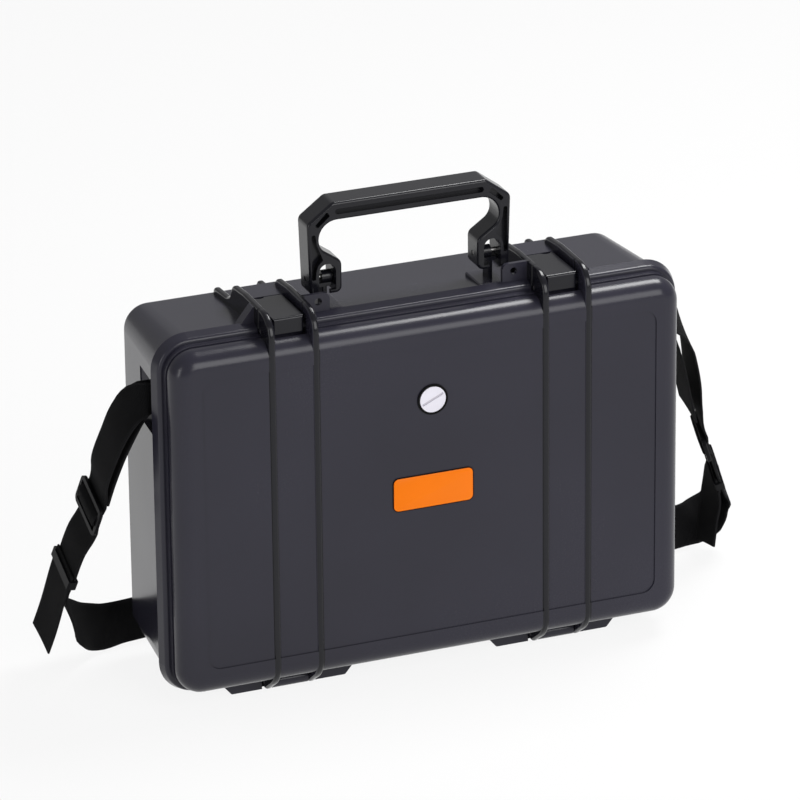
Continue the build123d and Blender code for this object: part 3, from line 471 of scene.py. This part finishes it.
def shell_finish():
    """Satin black moulding with painted shade on the ribs, a darker colour there; the ribs are also
    glossier, where hands polish them.
    """
    known = bpy.data.materials.get("satin_moulding")
    if known:
        return known
    made = finish("satin_moulding")
    n = Nodes(made.node_tree)
    shader = made.node_tree.nodes["Principled BSDF"]
    colour, rough = shader.inputs["Base Color"], shader.inputs["Roughness"]
    ribs = n.add("Group", node_tree=effect("rib_mask"))
    n.feed(ribs, Vector=n.add("TexCoord").outputs["Object"])
    mask = ribs.outputs["Mask"]
    # painted shade: the ribs take the darker colour of the fittings
    rib_shade_colour = (*settings("case_colours").fittings, 1.0)
    rib_shaded = n.tint(mask, colour.links[0].from_socket, rib_shade_colour)
    polished = n.math("SUBTRACT", rough.links[0].from_socket, n.math("MULTIPLY", mask, RIB_POLISH))
    n.feed(shader, Base_Color=rib_shaded, Roughness=polished)
    return made


def clothe(names, material):
    """Gives CAD nodes their finish."""
    for name in names:
        mesh = nodes[name].data
        mesh.materials.clear()
        mesh.materials.append(material)


# ---------------------------------------------------------------- modelling helpers
FACING = 0.9    # least share of a normal along an axis, for a face that looks that way
EDGE_SEGMENTS = 2


def nothing_selected():
    if bpy.context.object and bpy.context.object.mode != "OBJECT":
        bpy.ops.object.mode_set(mode="OBJECT")
    bpy.ops.object.select_all(action="DESELECT")


def work_on(piece):
    """Makes a piece the active one and the only one selected."""
    nothing_selected()
    piece.select_set(True)
    bpy.context.view_layer.objects.active = piece


def settle(piece, name, material, body, replaced):
    """Names a finished piece, puts its place in its mesh and says what it rides on."""
    work_on(piece)
    bpy.ops.object.transform_apply(location=True, rotation=True, scale=True)
    piece.name = name
    piece.data.name = name
    piece.data.materials.clear()
    piece.data.materials.append(material)
    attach(piece, body)
    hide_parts(replaced)


def pick(piece, kind, wanted):
    """Selects only the "edges" or "faces" of a piece in edit mode that pass a test."""
    bpy.ops.mesh.select_all(action="DESELECT")
    bpy.context.tool_settings.mesh_select_mode = (False, kind == "edges", kind == "faces")
    mesh = bmesh.from_edit_mesh(piece.data)
    for element in getattr(mesh, kind):
        if wanted(element):
            element.select_set(True)
    bmesh.update_edit_mesh(piece.data)


def bevel(piece, width, sharp, hardened):
    """Rounds the edges of the active piece that are sharper than an angle."""
    edge = piece.modifiers.new("edge", "BEVEL")
    edge.width = width
    edge.segments = EDGE_SEGMENTS
    edge.limit_method = "ANGLE"
    edge.angle_limit = sharp
    edge.harden_normals = hardened
    bpy.ops.object.modifier_apply(modifier="edge")


def soften(piece, width):
    """Rounds the sharp edges of a hard piece and keeps its faces flat."""
    sharp = radians(40)
    work_on(piece)
    bpy.ops.object.shade_smooth_by_angle(angle=sharp)
    bevel(piece, width, sharp, hardened=True)


# ---------------------------------------------------------------- strap
# A station of the webbing is a point on its run, the direction of its width and its width.
SLIDER_END, SLIDER_CLEAR = 13.3 * MM, 6 * MM    # half a slider's length, and the run beyond it
SLIDER_DIP, SLIDER_TOP = 8.3 * MM, 3.3 * MM     # where the webbing goes under and over its bars
SLIDER_LIFT = 2.9 * MM                          # how far it then lies out of its straight run
BAR_PLACE, BAR_REACH = (212, -19, 257), 4.3     # a strap bar and the webbing's distance, in millimetres
BAR_WIDTH, BAR_STEP = 24, 36                    # the bunched width in millimetres, a step in degrees
KEEPER_HALF, KEEPER_LIFT = 8 * MM, 2.2 * MM     # half a keeper's length, the loose end's height in it
RIGHT_KEEPER_SHARE = 0.45                       # how far along its stretch the right keeper sits
WEB_COLUMNS, WEB_EDGE = 8, 0.5 * MM             # faces across the webbing, and its edges' rounding
CROWN_BACK = 0.6                                # share of the crown by which the edges lie back
SHORTEST = 0.001 * MM


def stations_of(rows):
    """Stations from (point, width direction, width) in millimetres."""
    return [(Vector(point) * MM, Vector(across).normalized(), width * MM) for point, across, width in rows]


def frames_of(stations):
    """Adds the run direction and the outward direction to every station."""
    made = []
    last = len(stations) - 1
    for i, (point, across, width) in enumerate(stations):
        before = (point - stations[i - 1][0]).normalized() if i else Vector()
        after = (stations[i + 1][0] - point).normalized() if i < last else Vector()
        along = (before + after).normalized()
        across = (across - along * across.dot(along)).normalized()
        made.append((point, across, along, along.cross(across), width))
    return made


def shifted(station, along, outward):
    """A station moved along its run and outwards."""
    point, across, run, out, width = station
    return point + run * along + out * outward, across, width


def through_slider(station):
    """Webbing over the middle bar of a slider, under its two end bars."""
    end = SLIDER_END + SLIDER_CLEAR
    places = ((-end, -SLIDER_LIFT), (-SLIDER_DIP, -SLIDER_LIFT), (-SLIDER_TOP, SLIDER_LIFT),
              (SLIDER_TOP, SLIDER_LIFT), (SLIDER_DIP, -SLIDER_LIFT), (end, -SLIDER_LIFT))
    return [shifted(station, along, outward) for along, outward in places]


def round_bar(side):
    """Webbing round a strap bar, front to back."""
    x, y, z = BAR_PLACE
    rows = []
    for turn in range(-90, 91, BAR_STEP):
        inward, back = BAR_REACH * cos(radians(turn)), BAR_REACH * sin(radians(turn))
        rows.append(((side * (x - inward), y + back, z), (0, 0, 1), BAR_WIDTH))
    return stations_of(rows)


def eased(stations, row):
    """Stations joined by a smooth line, a row apart."""
    made = []
    count = len(stations)
    for i in range(count - 1):
        a, b, c, d = (stations[min(max(k, 0), count - 1)] for k in range(i - 1, i + 3))
        span = (c[0] - b[0]).length
        before = max((b[0] - a[0]).length, SHORTEST)
        after = max((d[0] - c[0]).length, SHORTEST)
        leave = ((b[0] - a[0]) / before + (c[0] - b[0]) / span) * span / 2
        arrive = ((c[0] - b[0]) / span + (d[0] - c[0]) / after) * span / 2
        steps = max(1, round(span / row))
        for k in range(steps + (i == count - 2)):
            t = k / steps    # weights of both stations and of the pull of their directions follow
            start, start_pull = 2 * t**3 - 3 * t**2 + 1, t**3 - 2 * t**2 + t
            end, end_pull = 3 * t**2 - 2 * t**3, t**3 - t**2
            point = b[0] * start + leave * start_pull + c[0] * end + arrive * end_pull
            made.append((point, b[1].lerp(c[1], end).normalized(), b[2] + (c[2] - b[2]) * end))
    return made


def webbing_mesh(name, rows, strap):
    """Crowned strip through a run's rows, with a UV map in metres."""
    points, places, run = [], [], 0.0
    for i, (point, across, along, out, width) in enumerate(rows):
        if i:
            run += (point - rows[i - 1][0]).length
        for k in range(WEB_COLUMNS + 1):
            t = 2 * k / WEB_COLUMNS - 1
            bow = strap.crown * (1 - t * t) - strap.crown * CROWN_BACK
            points.append(point + across * (t * width / 2) + out * bow)
            places.append((t * strap.width / 2, run))
    faces = []
    for i in range(len(rows) - 1):
        for k in range(WEB_COLUMNS):
            a = i * (WEB_COLUMNS + 1) + k
            faces.append((a, a + 1, a + WEB_COLUMNS + 2, a + WEB_COLUMNS + 1))
    mesh = bpy.data.meshes.new(name)
    mesh.from_pydata(points, [], faces)
    layer = mesh.uv_layers.new(name="weave")
    for loop in mesh.loops:
        layer.data[loop.index].uv = places[loop.vertex_index]
    return mesh


def webbing(name, stations, flat_length, replaced, rests_on, with_pieces=()):
    """One length of webbing: a crowned strip, thickened and softened."""
    strap = settings("case_strap")
    rows = frames_of(eased(stations, strap.row))
    piece = bpy.data.objects.new(name, webbing_mesh(name, rows, strap))
    bpy.context.scene.collection.objects.link(piece)
    work_on(piece)
    thick = piece.modifiers.new("thickness", "SOLIDIFY")
    thick.thickness = strap.thickness
    thick.offset = 0.0
    bpy.ops.object.modifier_apply(modifier="thickness")
    bevel(piece, WEB_EDGE, sharp=radians(60), hardened=False)
    bpy.ops.object.shade_smooth()
    settle(piece, name, finish("woven_webbing"), body="base", replaced=replaced)


# Stations in millimetres: the point, the direction of the width, and the width.
HANG = (0.0, 0.93, 0.36)    # the width's direction where the webbing hangs free
WEB = 38
LEFT_LOW = [((-268.4, 45, 95), HANG, WEB), ((-262.5, 33, 124), HANG, WEB)]
LEFT_SLIDER = ((-255.5, 20, 157), HANG, WEB)
LEFT_UP = [((-251, 6, 190), HANG, WEB), ((-245.5, -4, 217), HANG, WEB),
           ((-238, -12, 240), (-0.05, 0.9, 0.43), 36), ((-229, -18, 254), (0, 0.62, 0.78), 31),
           ((-219.5, -23.8, 258.5), (0, 0.1, 0.99), 26)]
LEFT_DOWN = [((-219.5, -14.2, 257.5), (0, 0.1, 0.99), 26), ((-225.5, -12, 250), (0, 0.62, 0.78), 31),
             ((-232, -9, 236), (-0.05, 0.9, 0.43), 36), ((-239.5, -3, 214), HANG, WEB),
             ((-245.0, 5, 191), HANG, WEB), ((-248.2, 12, 172), HANG, WEB)]
RIGHT_LOW = [((311.05, 71.4, 49.02), (0.1, 0.85, 0.5), WEB), ((312.2, 69, 54.1), (0.1, 0.86, 0.49), WEB),
             ((303, 60, 70), (0.12, 0.87, 0.48), WEB), ((291, 49, 94), (0.12, 0.88, 0.46), WEB)]
RIGHT_SLIDER = ((275.5, 36, 122), (0.12, 0.9, 0.42), WEB)
RIGHT_UP = [((265.5, 28, 156), HANG, WEB), ((259.5, 20, 187), HANG, WEB),
            ((249.5, 8, 219), (0, 0.9, 0.43), 36), ((238, -6, 241), (0, 0.75, 0.66), 33),
            ((226, -18, 254), (0, 0.5, 0.86), 29), ((219.5, -24.0, 257.2), (0, 0.03, 1.0), 25)]
RIGHT_DOWN = [((219.5, -14.0, 257.0), (0, 0.03, 1.0), 25), ((225, -9, 249), (0, 0.6, 0.8), 30),
              ((233, 0, 231), (0, 0.85, 0.5), 35), ((241.5, 9, 207), HANG, WEB),
              ((251, 19, 179), HANG, WEB), ((260.5, 27, 150), HANG, WEB)]
REAR_RUN = [((-268.45, 45.09, 94.77), HANG, WEB), ((-271.5, 51.4, 79.5), HANG, WEB),
            ((-265, 60, 54), (-0.1, 0.85, 0.5), WEB), ((-251, 70, 33), (0, 0.6, 0.8), WEB),
            ((-232, 79, 22), (0, 0.2, 0.98), WEB), ((-206, 86, 20), (0, 0, 1), WEB),
            ((-160, 92, 20), (0, 0, 1), WEB), ((-100, 95, 20), (0, 0, 1), WEB),
            ((-30, 94, 20), (0, 0, 1), WEB), ((45, 90, 20), (0, 0, 1), WEB),
            ((120, 84, 20), (0, 0, 1), WEB), ((190, 78, 20), (0, 0, 1), WEB),
            ((245, 77, 20), (0, 0, 1), WEB), ((280, 80, 21), (0, 0.1, 1), WEB),
            ((298, 81, 25), (0, 0.5, 0.86), WEB), ((308, 77.5, 36), (0.0, 0.8, 0.6), WEB),
            ((311, 71.5, 48.8), (0.1, 0.85, 0.5), WEB)]
LEFT_TAIL_END = [((-279.0, 62.0, 46), HANG, WEB), ((-283.5, 68.5, 26), HANG, WEB)]
RIGHT_TAIL_END = [((298.8, 62.4, 66.4), (0.12, 0.87, 0.48), WEB), ((298, 62.5, 51), HANG, 34),
                  ((295, 61.5, 31), HANG, 30), ((291.5, 59, 12), HANG, 30)]


def side_run(side, low, slider, up, down):
    """A side's webbing, through its slider, round its bar and back down."""
    low, up, down = stations_of(low), stations_of(up), stations_of(down)
    at_slider = frames_of([low[-1]] + stations_of([slider]) + [up[0]])[1]
    return low + through_slider(at_slider) + up + round_bar(side) + down


def tail_run(at_keeper, end):
    """A loose end, from the keeper down."""
    through = [shifted(at_keeper, along, KEEPER_LIFT) for along in (KEEPER_HALF, -KEEPER_HALF)]
    return through + stations_of(end)


# ---------------------------------------------------------------- operators
class CASE_OT_shells(bpy.types.Operator):
    """Finishes the moulded shells, the latches and the handle"""
    bl_idname = "case.shells"
    bl_label = "Shells and fittings"

    def execute(self, context):
        clothe(("lid_shell", "base_shell"), shell_finish())
        clothe(("latch_left", "latch_right", "handle", "handle_bracket_left", "handle_bracket_right"),
               finish("fitting_moulding"))
        return {"FINISHED"}


class CASE_OT_hardware(bpy.types.Operator):
    """Finishes the steel pins and bars, the seal and the valve"""
    bl_idname = "case.hardware"
    bl_label = "Steel, seal and valve"

    def execute(self, context):
        steel = [f"{part}_{side}" for part in ("latch_pin", "hinge_pin", "handle_pin", "strap_bar")
                 for side in ("left", "right")]
        clothe(steel, finish("drawn_steel"))
        clothe(("seal_ring",), finish("seal_rubber"))
        # the valve's body and nut are near black, which stands in for the shadow round the disc
        clothe(("valve_body", "valve_nut"), finish("black_moulding"))
        return {"FINISHED"}


class CASE_OT_disc(bpy.types.Operator):
    """Builds the valve's turning disc: a shallow dish with a coin slot and a stem"""
    bl_idname = "case.valve_disc"
    bl_label = "Valve disc"

    sides = 96           # of the polygon that stands for the round disc
    slot_margin = 1.4    # rim widths between the slot's ends and the disc's edge
    shade_depth, shade_reach = 0.95, 0.9    # shares of thickness and radius where the slot has painted shade, a darker colour

    def execute(self, context):
        sizes = settings("case_valve")
        low, high = (Vector(corner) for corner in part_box("valve_disc"))
        middle = (low + high) / 2
        radius = (high.x - low.x) / 2
        nothing_selected()
        bpy.ops.mesh.primitive_cylinder_add(vertices=self.sides, radius=radius, depth=sizes.thickness,
                                            location=(middle.x, low.y + sizes.thickness / 2, middle.z),
                                            rotation=(pi / 2, 0, 0))
        piece = context.object
        bpy.ops.object.transform_apply(location=True, rotation=True, scale=True)
        bpy.ops.object.mode_set(mode="EDIT")
        pick(piece, "faces", lambda face: face.normal.y < -FACING)
        bpy.ops.mesh.inset(thickness=sizes.rim, depth=0.0)
        bpy.ops.mesh.inset(thickness=sizes.rim / 2, depth=-sizes.dish)
        pick(piece, "faces", lambda face: face.normal.y > FACING)
        bpy.ops.mesh.inset(thickness=radius - sizes.stem, depth=0.0)
        bpy.ops.mesh.extrude_region_move(
            TRANSFORM_OT_translate={"value": (0, high.y - low.y - sizes.thickness, 0)})
        bpy.ops.object.mode_set(mode="OBJECT")
        self.cut_slot(piece, Vector((middle.x, low.y, middle.z)), radius, sizes)
        soften(piece, sizes.edge)
        settle(piece, "coin_slot_disc", finish("disc_moulding"),
               body="valve_disc", replaced="valve_disc")
        piece.data.materials.append(finish("slot_shade"))
        front, back = low.y + sizes.slot_depth / 2, low.y + sizes.thickness * self.shade_depth
        for face in piece.data.polygons:
            away = (Vector(face.center) - middle).xz.length
            in_slot = front < face.center.y < back and away < radius * self.shade_reach
            face.material_index = int(in_slot)
        return {"FINISHED"}

    def cut_slot(self, piece, place, radius, sizes):
        """Cuts the coin slot into the front of the disc."""
        nothing_selected()
        bpy.ops.mesh.primitive_cube_add(size=1.0, location=place, rotation=(0, -sizes.turn, 0))
        cutter = bpy.context.object
        cutter.scale = (2 * (radius - self.slot_margin * sizes.rim), 2 * sizes.slot_depth, sizes.slot_width)
        bpy.ops.object.transform_apply(location=True, rotation=True, scale=True)
        cut = piece.modifiers.new("slot", "BOOLEAN")
        cut.object = cutter
        cut.operation = "DIFFERENCE"
        work_on(piece)
        bpy.ops.object.modifier_apply(modifier="slot")
        bpy.data.objects.remove(cutter)


class CASE_OT_plate(bpy.types.Operator):
    """Builds the bare front plate: rounded corners, a dark rim of painted shadow round its edge and a field
    inside a groove
    """
    bl_idname = "case.front_plate"
    bl_label = "Front plate"

    corner_segments = 6
    field_lean = 0.2    # least share of a normal to the front, for a face of the field

    def execute(self, context):
        sizes = settings("case_plate")
        low, high = (Vector(corner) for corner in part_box("front_plate"))
        middle, half = (low + high) / 2, (high - low) / 2
        nothing_selected()
        bpy.ops.mesh.primitive_cube_add(size=1.0, location=middle)
        piece = context.object
        piece.scale = high - low
        bpy.ops.object.transform_apply(location=False, rotation=False, scale=True)
        bpy.ops.object.mode_set(mode="EDIT")
        pick(piece, "edges", self.runs_back)
        bpy.ops.mesh.bevel(offset=sizes.corner, segments=self.corner_segments, affect="EDGES")
        pick(piece, "faces", lambda face: face.normal.y < -FACING)
        bpy.ops.mesh.inset(thickness=sizes.rim, depth=0.0)
        bpy.ops.mesh.inset(thickness=sizes.groove, depth=-sizes.sink)
        bpy.ops.mesh.inset(thickness=sizes.groove, depth=sizes.sink)
        bpy.ops.object.mode_set(mode="OBJECT")
        soften(piece, sizes.edge)
        settle(piece, "bare_front_plate", finish("plate_lacquer"),
               body="lid", replaced="front_plate")
        piece.data.materials.append(finish("plate_rim"))
        # faces outside the field take the rim's near-black colour, a painted shadow line
        border = sizes.rim + sizes.groove / 2
        for face in piece.data.polygons:
            inside = self.depth_in(face.center - middle, half, sizes.corner) > border
            face.material_index = 0 if inside and face.normal.y < -self.field_lean else 1
        return {"FINISHED"}

    def runs_back(self, edge):
        """Whether an edge runs from the front to the back."""
        start, end = (vertex.co for vertex in edge.verts)
        return abs((start - end).normalized().y) > FACING

    def depth_in(self, point, half, corner):
        """How far a point lies inside the plate's rounded outline."""
        over_x = abs(point.x) - half.x + corner
        over_z = abs(point.z) - half.z + corner
        beyond = Vector((max(over_x, 0), max(over_z, 0))).length
        return corner - beyond - min(max(over_x, over_z), 0)


class CASE_OT_strap(bpy.types.Operator):
    """Lays the shoulder strap: webbing, loose ends, sliders and keepers"""
    bl_idname = "case.strap"
    bl_label = "Shoulder strap"

    def execute(self, context):
        clothe(("slider_left", "slider_right", "keeper_left", "keeper_right"), finish("buckle_moulding"))
        webbing("strap_left", side_run(-1, LEFT_LOW, LEFT_SLIDER, LEFT_UP, LEFT_DOWN), flat_length=0.32,
                replaced="webbing_left", rests_on=("strap_bar_left",), with_pieces=("slider_left",))
        webbing("strap_right", side_run(1, RIGHT_LOW, RIGHT_SLIDER, RIGHT_UP, RIGHT_DOWN), flat_length=0.41,
                replaced="webbing_right", rests_on=("strap_bar_right",), with_pieces=("slider_right",))
        webbing("strap_rear", stations_of(REAR_RUN), flat_length=0.68, replaced="webbing_rear",
                rests_on=("strap_left", "strap_right"), with_pieces=("keeper_left", "keeper_right"))
        at_left = frames_of(stations_of([REAR_RUN[1], LEFT_LOW[0]]))[1]
        webbing("strap_tail_left", tail_run(at_left, LEFT_TAIL_END), flat_length=0.086,
                replaced="webbing_tail_left", rests_on=("strap_rear",))
        below, above = frames_of(stations_of(RIGHT_LOW[2:4]))
        share = RIGHT_KEEPER_SHARE
        at_right = (above[0] * share + below[0] * (1 - share),) + above[1:]
        webbing("strap_tail_right", tail_run(at_right, RIGHT_TAIL_END), flat_length=0.077,
                replaced="webbing_tail_right", rests_on=("strap_right",))
        return {"FINISHED"}


def foam_block(node, name):
    """Evenly meshed copy of a foam CAD solid, ready to be shaped."""
    piece = nodes[node].copy()
    piece.data = nodes[node].data.copy()
    piece.hide_render = False
    bpy.context.scene.collection.objects.link(piece)
    work_on(piece)
    bpy.ops.object.mode_set(mode="EDIT")
    bpy.ops.mesh.select_all(action="SELECT")
    bpy.ops.mesh.remove_doubles(threshold=0.01 * MM)
    bpy.ops.object.mode_set(mode="OBJECT")
    piece.data.remesh_voxel_size = settings("case_foam").mesh
    bpy.ops.object.voxel_remesh()
    piece.name = name
    return piece


class CASE_OT_foam(bpy.types.Operator):
    """Builds the foam tray and the egg-crate pad in the lid"""
    bl_idname = "case.foam"
    bl_label = "Foam"

    ease, ease_passes = 0.5, 3    # strength and number of the passes that round the foam's edges

    def execute(self, context):
        sizes = settings("case_foam")
        pad = foam_block("lid_foam", "lid_pad")
        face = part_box("lid_foam")[1][1]    # the pad's free side
        turn = 2 * pi / sizes.wave
        for vertex in pad.data.vertices:
            place = vertex.co
            share = (place.y - face + sizes.valley) / sizes.valley
            if share > 0:
                hill = (cos(place.x * turn) * cos(place.z * turn) + 1) / 2
                place.y -= share * sizes.valley * (1 - hill)
        self.complete(pad, "lid", "lid_foam", fill=0.8)
        self.complete(foam_block("base_foam", "laptop_tray"), "base", "base_foam", fill=0.95)
        return {"FINISHED"}

    def complete(self, piece, body, replaced, fill):
        ease = piece.modifiers.new("ease", "SMOOTH")
        ease.factor = self.ease
        ease.iterations = self.ease_passes
        bpy.ops.object.modifier_apply(modifier="ease")
        bpy.ops.object.shade_smooth()
        settle(piece, piece.name, finish("open_foam"), body, replaced=replaced)


# ---------------------------------------------------------------- stage
WHITE = (1, 1, 1, 1)
FLOOR_SIZE, FLOOR_DROP, FLOOR_ROUGHNESS = 30.0, 0.5 * MM, 0.9
MIDDLE = (0.0, 0.0, 0.18)    # of the case
LAMPS = {    # where each lamp stands, where it points, and its width and height, in metres
    "front_lamp": ((0.7, -2.0, 1.2), (0.7, 0, 0.3), (1.8, 1.25)),
    "line_lamp": ((0.92, 0.28, 1.8), (0.92, 0, 0.3), (0.9, 0.7)),
    "left_lamp": ((-2.4, -1.1, 0.9), MIDDLE, (0.5, 1.4)),
    "back_lamp": ((0.9, 2.0, 1.6), MIDDLE, (2.4, 1.2)),
}
SENSOR_WIDTH = 36.0
FOCAL_LENGTH = 7.338375    # in widths of the frame
LOOKED_AT = (-27.646, -66.0, 242.167)    # in millimetres
VIEW_DEPTH = 50.0    # how far the camera sees


def soft_lamp(name, place, aim, size, power):
    """Rectangular area lamp that points at a place."""
    data = bpy.data.lights.new(name, "AREA")
    data.shape = "RECTANGLE"
    data.size, data.size_y = size
    data.energy = power
    lamp = bpy.data.objects.new(name, data)
    bpy.context.scene.collection.objects.link(lamp)
    lamp.location = place
    lamp.rotation_euler = (Vector(aim) - Vector(place)).to_track_quat("-Z", "Y").to_euler()


class CASE_OT_stage(bpy.types.Operator):
    """Sets the floor, the lamps, the pale surroundings and the camera"""
    bl_idname = "case.stage"
    bl_label = "Stage"

    def execute(self, context):
        stage = settings("case_stage")
        self.lay_floor(stage)
        self.set_surroundings(context.scene, stage)
        for name, (place, aim, size) in LAMPS.items():
            soft_lamp(name, place, aim, size, getattr(stage, name.replace("lamp", "power")))
        self.set_camera(context.scene, stage)
        context.scene.view_settings.view_transform = "Standard"
        return {"FINISHED"}

    def in_mirrors(self, n, rays):
        """1 for a ray that has met a glossy or clear surface, otherwise 0."""
        return n.math("MAXIMUM", rays.outputs["Is Glossy Ray"], rays.outputs["Is Transmission Ray"])

    def lay_floor(self, stage):
        """Pale floor that shows the surroundings through it and keeps the shadows."""
        nothing_selected()
        bpy.ops.mesh.primitive_plane_add(size=FLOOR_SIZE, location=(0, 0, -FLOOR_DROP))
        floor = bpy.context.object
        floor.name = "floor"
        paint = bpy.data.materials.new("pale_floor")
        paint.use_nodes = True
        n = Nodes(paint.node_tree)
        shader = paint.node_tree.nodes["Principled BSDF"]
        n.feed(shader, Base_Color=(*stage.floor, 1.0), Roughness=FLOOR_ROUGHNESS)
        rays = n.add("LightPath")
        glow = n.feed(n.add("Emission"), Color=WHITE, Strength=1.0)
        pale = n.math("MULTIPLY", self.in_mirrors(n, rays), stage.paleness)
        lit = n.blended(pale, shader.outputs[0], glow.outputs[0])
        clear = n.math("MULTIPLY", rays.outputs["Is Camera Ray"], stage.paleness)
        clear = n.math("MAXIMUM", clear, rays.outputs["Is Shadow Ray"])
        both = n.blended(clear, lit, n.add("BsdfTransparent").outputs[0])
        n.feed(paint.node_tree.nodes["Material Output"], Surface=both)
        floor.data.materials.append(paint)

    def set_surroundings(self, scene, stage):
        """White to the camera, and weaker as light and in mirrors."""
        world = bpy.data.worlds.new("pale_surroundings")
        scene.world = world
        world.use_nodes = True
        n = Nodes(world.node_tree)
        rays = n.add("LightPath")
        strength = n.span(self.in_mirrors(n, rays), 0.0, 1.0, stage.fill, stage.mirrored)
        strength = n.math("MAXIMUM", strength, rays.outputs["Is Camera Ray"])
        n.feed(world.node_tree.nodes["Background"], Color=WHITE, Strength=strength)

    def set_camera(self, scene, stage):
        """Camera at its distance and angles from the point that it looks at."""
        look = Matrix.Rotation(-stage.azimuth, 4, "Z") @ Matrix.Rotation(pi / 2 - stage.elevation, 4, "X")
        look = look @ Matrix.Rotation(stage.roll, 4, "Z")
        look.translation = Vector(LOOKED_AT) * MM + look.to_3x3() @ Vector((0, 0, stage.camera_distance))
        data = bpy.data.cameras.new("camera")
        data.sensor_width = SENSOR_WIDTH
        data.lens = SENSOR_WIDTH * FOCAL_LENGTH
        data.clip_end = VIEW_DEPTH
        camera = bpy.data.objects.new("camera", data)
        scene.collection.objects.link(camera)
        camera.matrix_world = look
        scene.camera = camera


# ---------------------------------------------------------------- panel and registering
class CASE_PT_panel(bpy.types.Panel):
    """Lists the builders of the case's parts"""
    bl_idname = "CASE_PT_panel"
    bl_label = "Laptop Case"
    bl_space_type = "VIEW_3D"
    bl_region_type = "UI"
    bl_category = "Laptop Case"

    def draw(self, context):
        for group in GROUPS:
            box = self.layout.box()
            owner = getattr(context.scene, group)
            for name in owner.__annotations__:
                box.prop(owner, name)
        for operator in STEPS:
            self.layout.operator(operator.bl_idname)


GROUPS = {"case_colours": CaseColours, "case_strap": CaseStrap, "case_plate": CasePlate,
          "case_valve": CaseValve, "case_foam": CaseFoam, "case_stage": CaseStage}
STEPS = (CASE_OT_stage, CASE_OT_shells, CASE_OT_hardware, CASE_OT_disc, CASE_OT_plate, CASE_OT_strap,
         CASE_OT_foam)


def register():
    for group in GROUPS.values():
        bpy.utils.register_class(group)
    for name, group in GROUPS.items():
        setattr(bpy.types.Scene, name, bpy.props.PointerProperty(type=group))
    for operator in STEPS:
        bpy.utils.register_class(operator)
    bpy.utils.register_class(CASE_PT_panel)


def unregister():
    bpy.utils.unregister_class(CASE_PT_panel)
    for operator in reversed(STEPS):
        bpy.utils.unregister_class(operator)
    for name in GROUPS:
        delattr(bpy.types.Scene, name)
    for group in reversed(list(GROUPS.values())):
        bpy.utils.unregister_class(group)


def main():
    """Builds the case."""
    register()
    for operator in STEPS:
        family, name = operator.bl_idname.split(".")
        getattr(getattr(bpy.ops, family), name)()


if __name__ == "__main__":
    main()
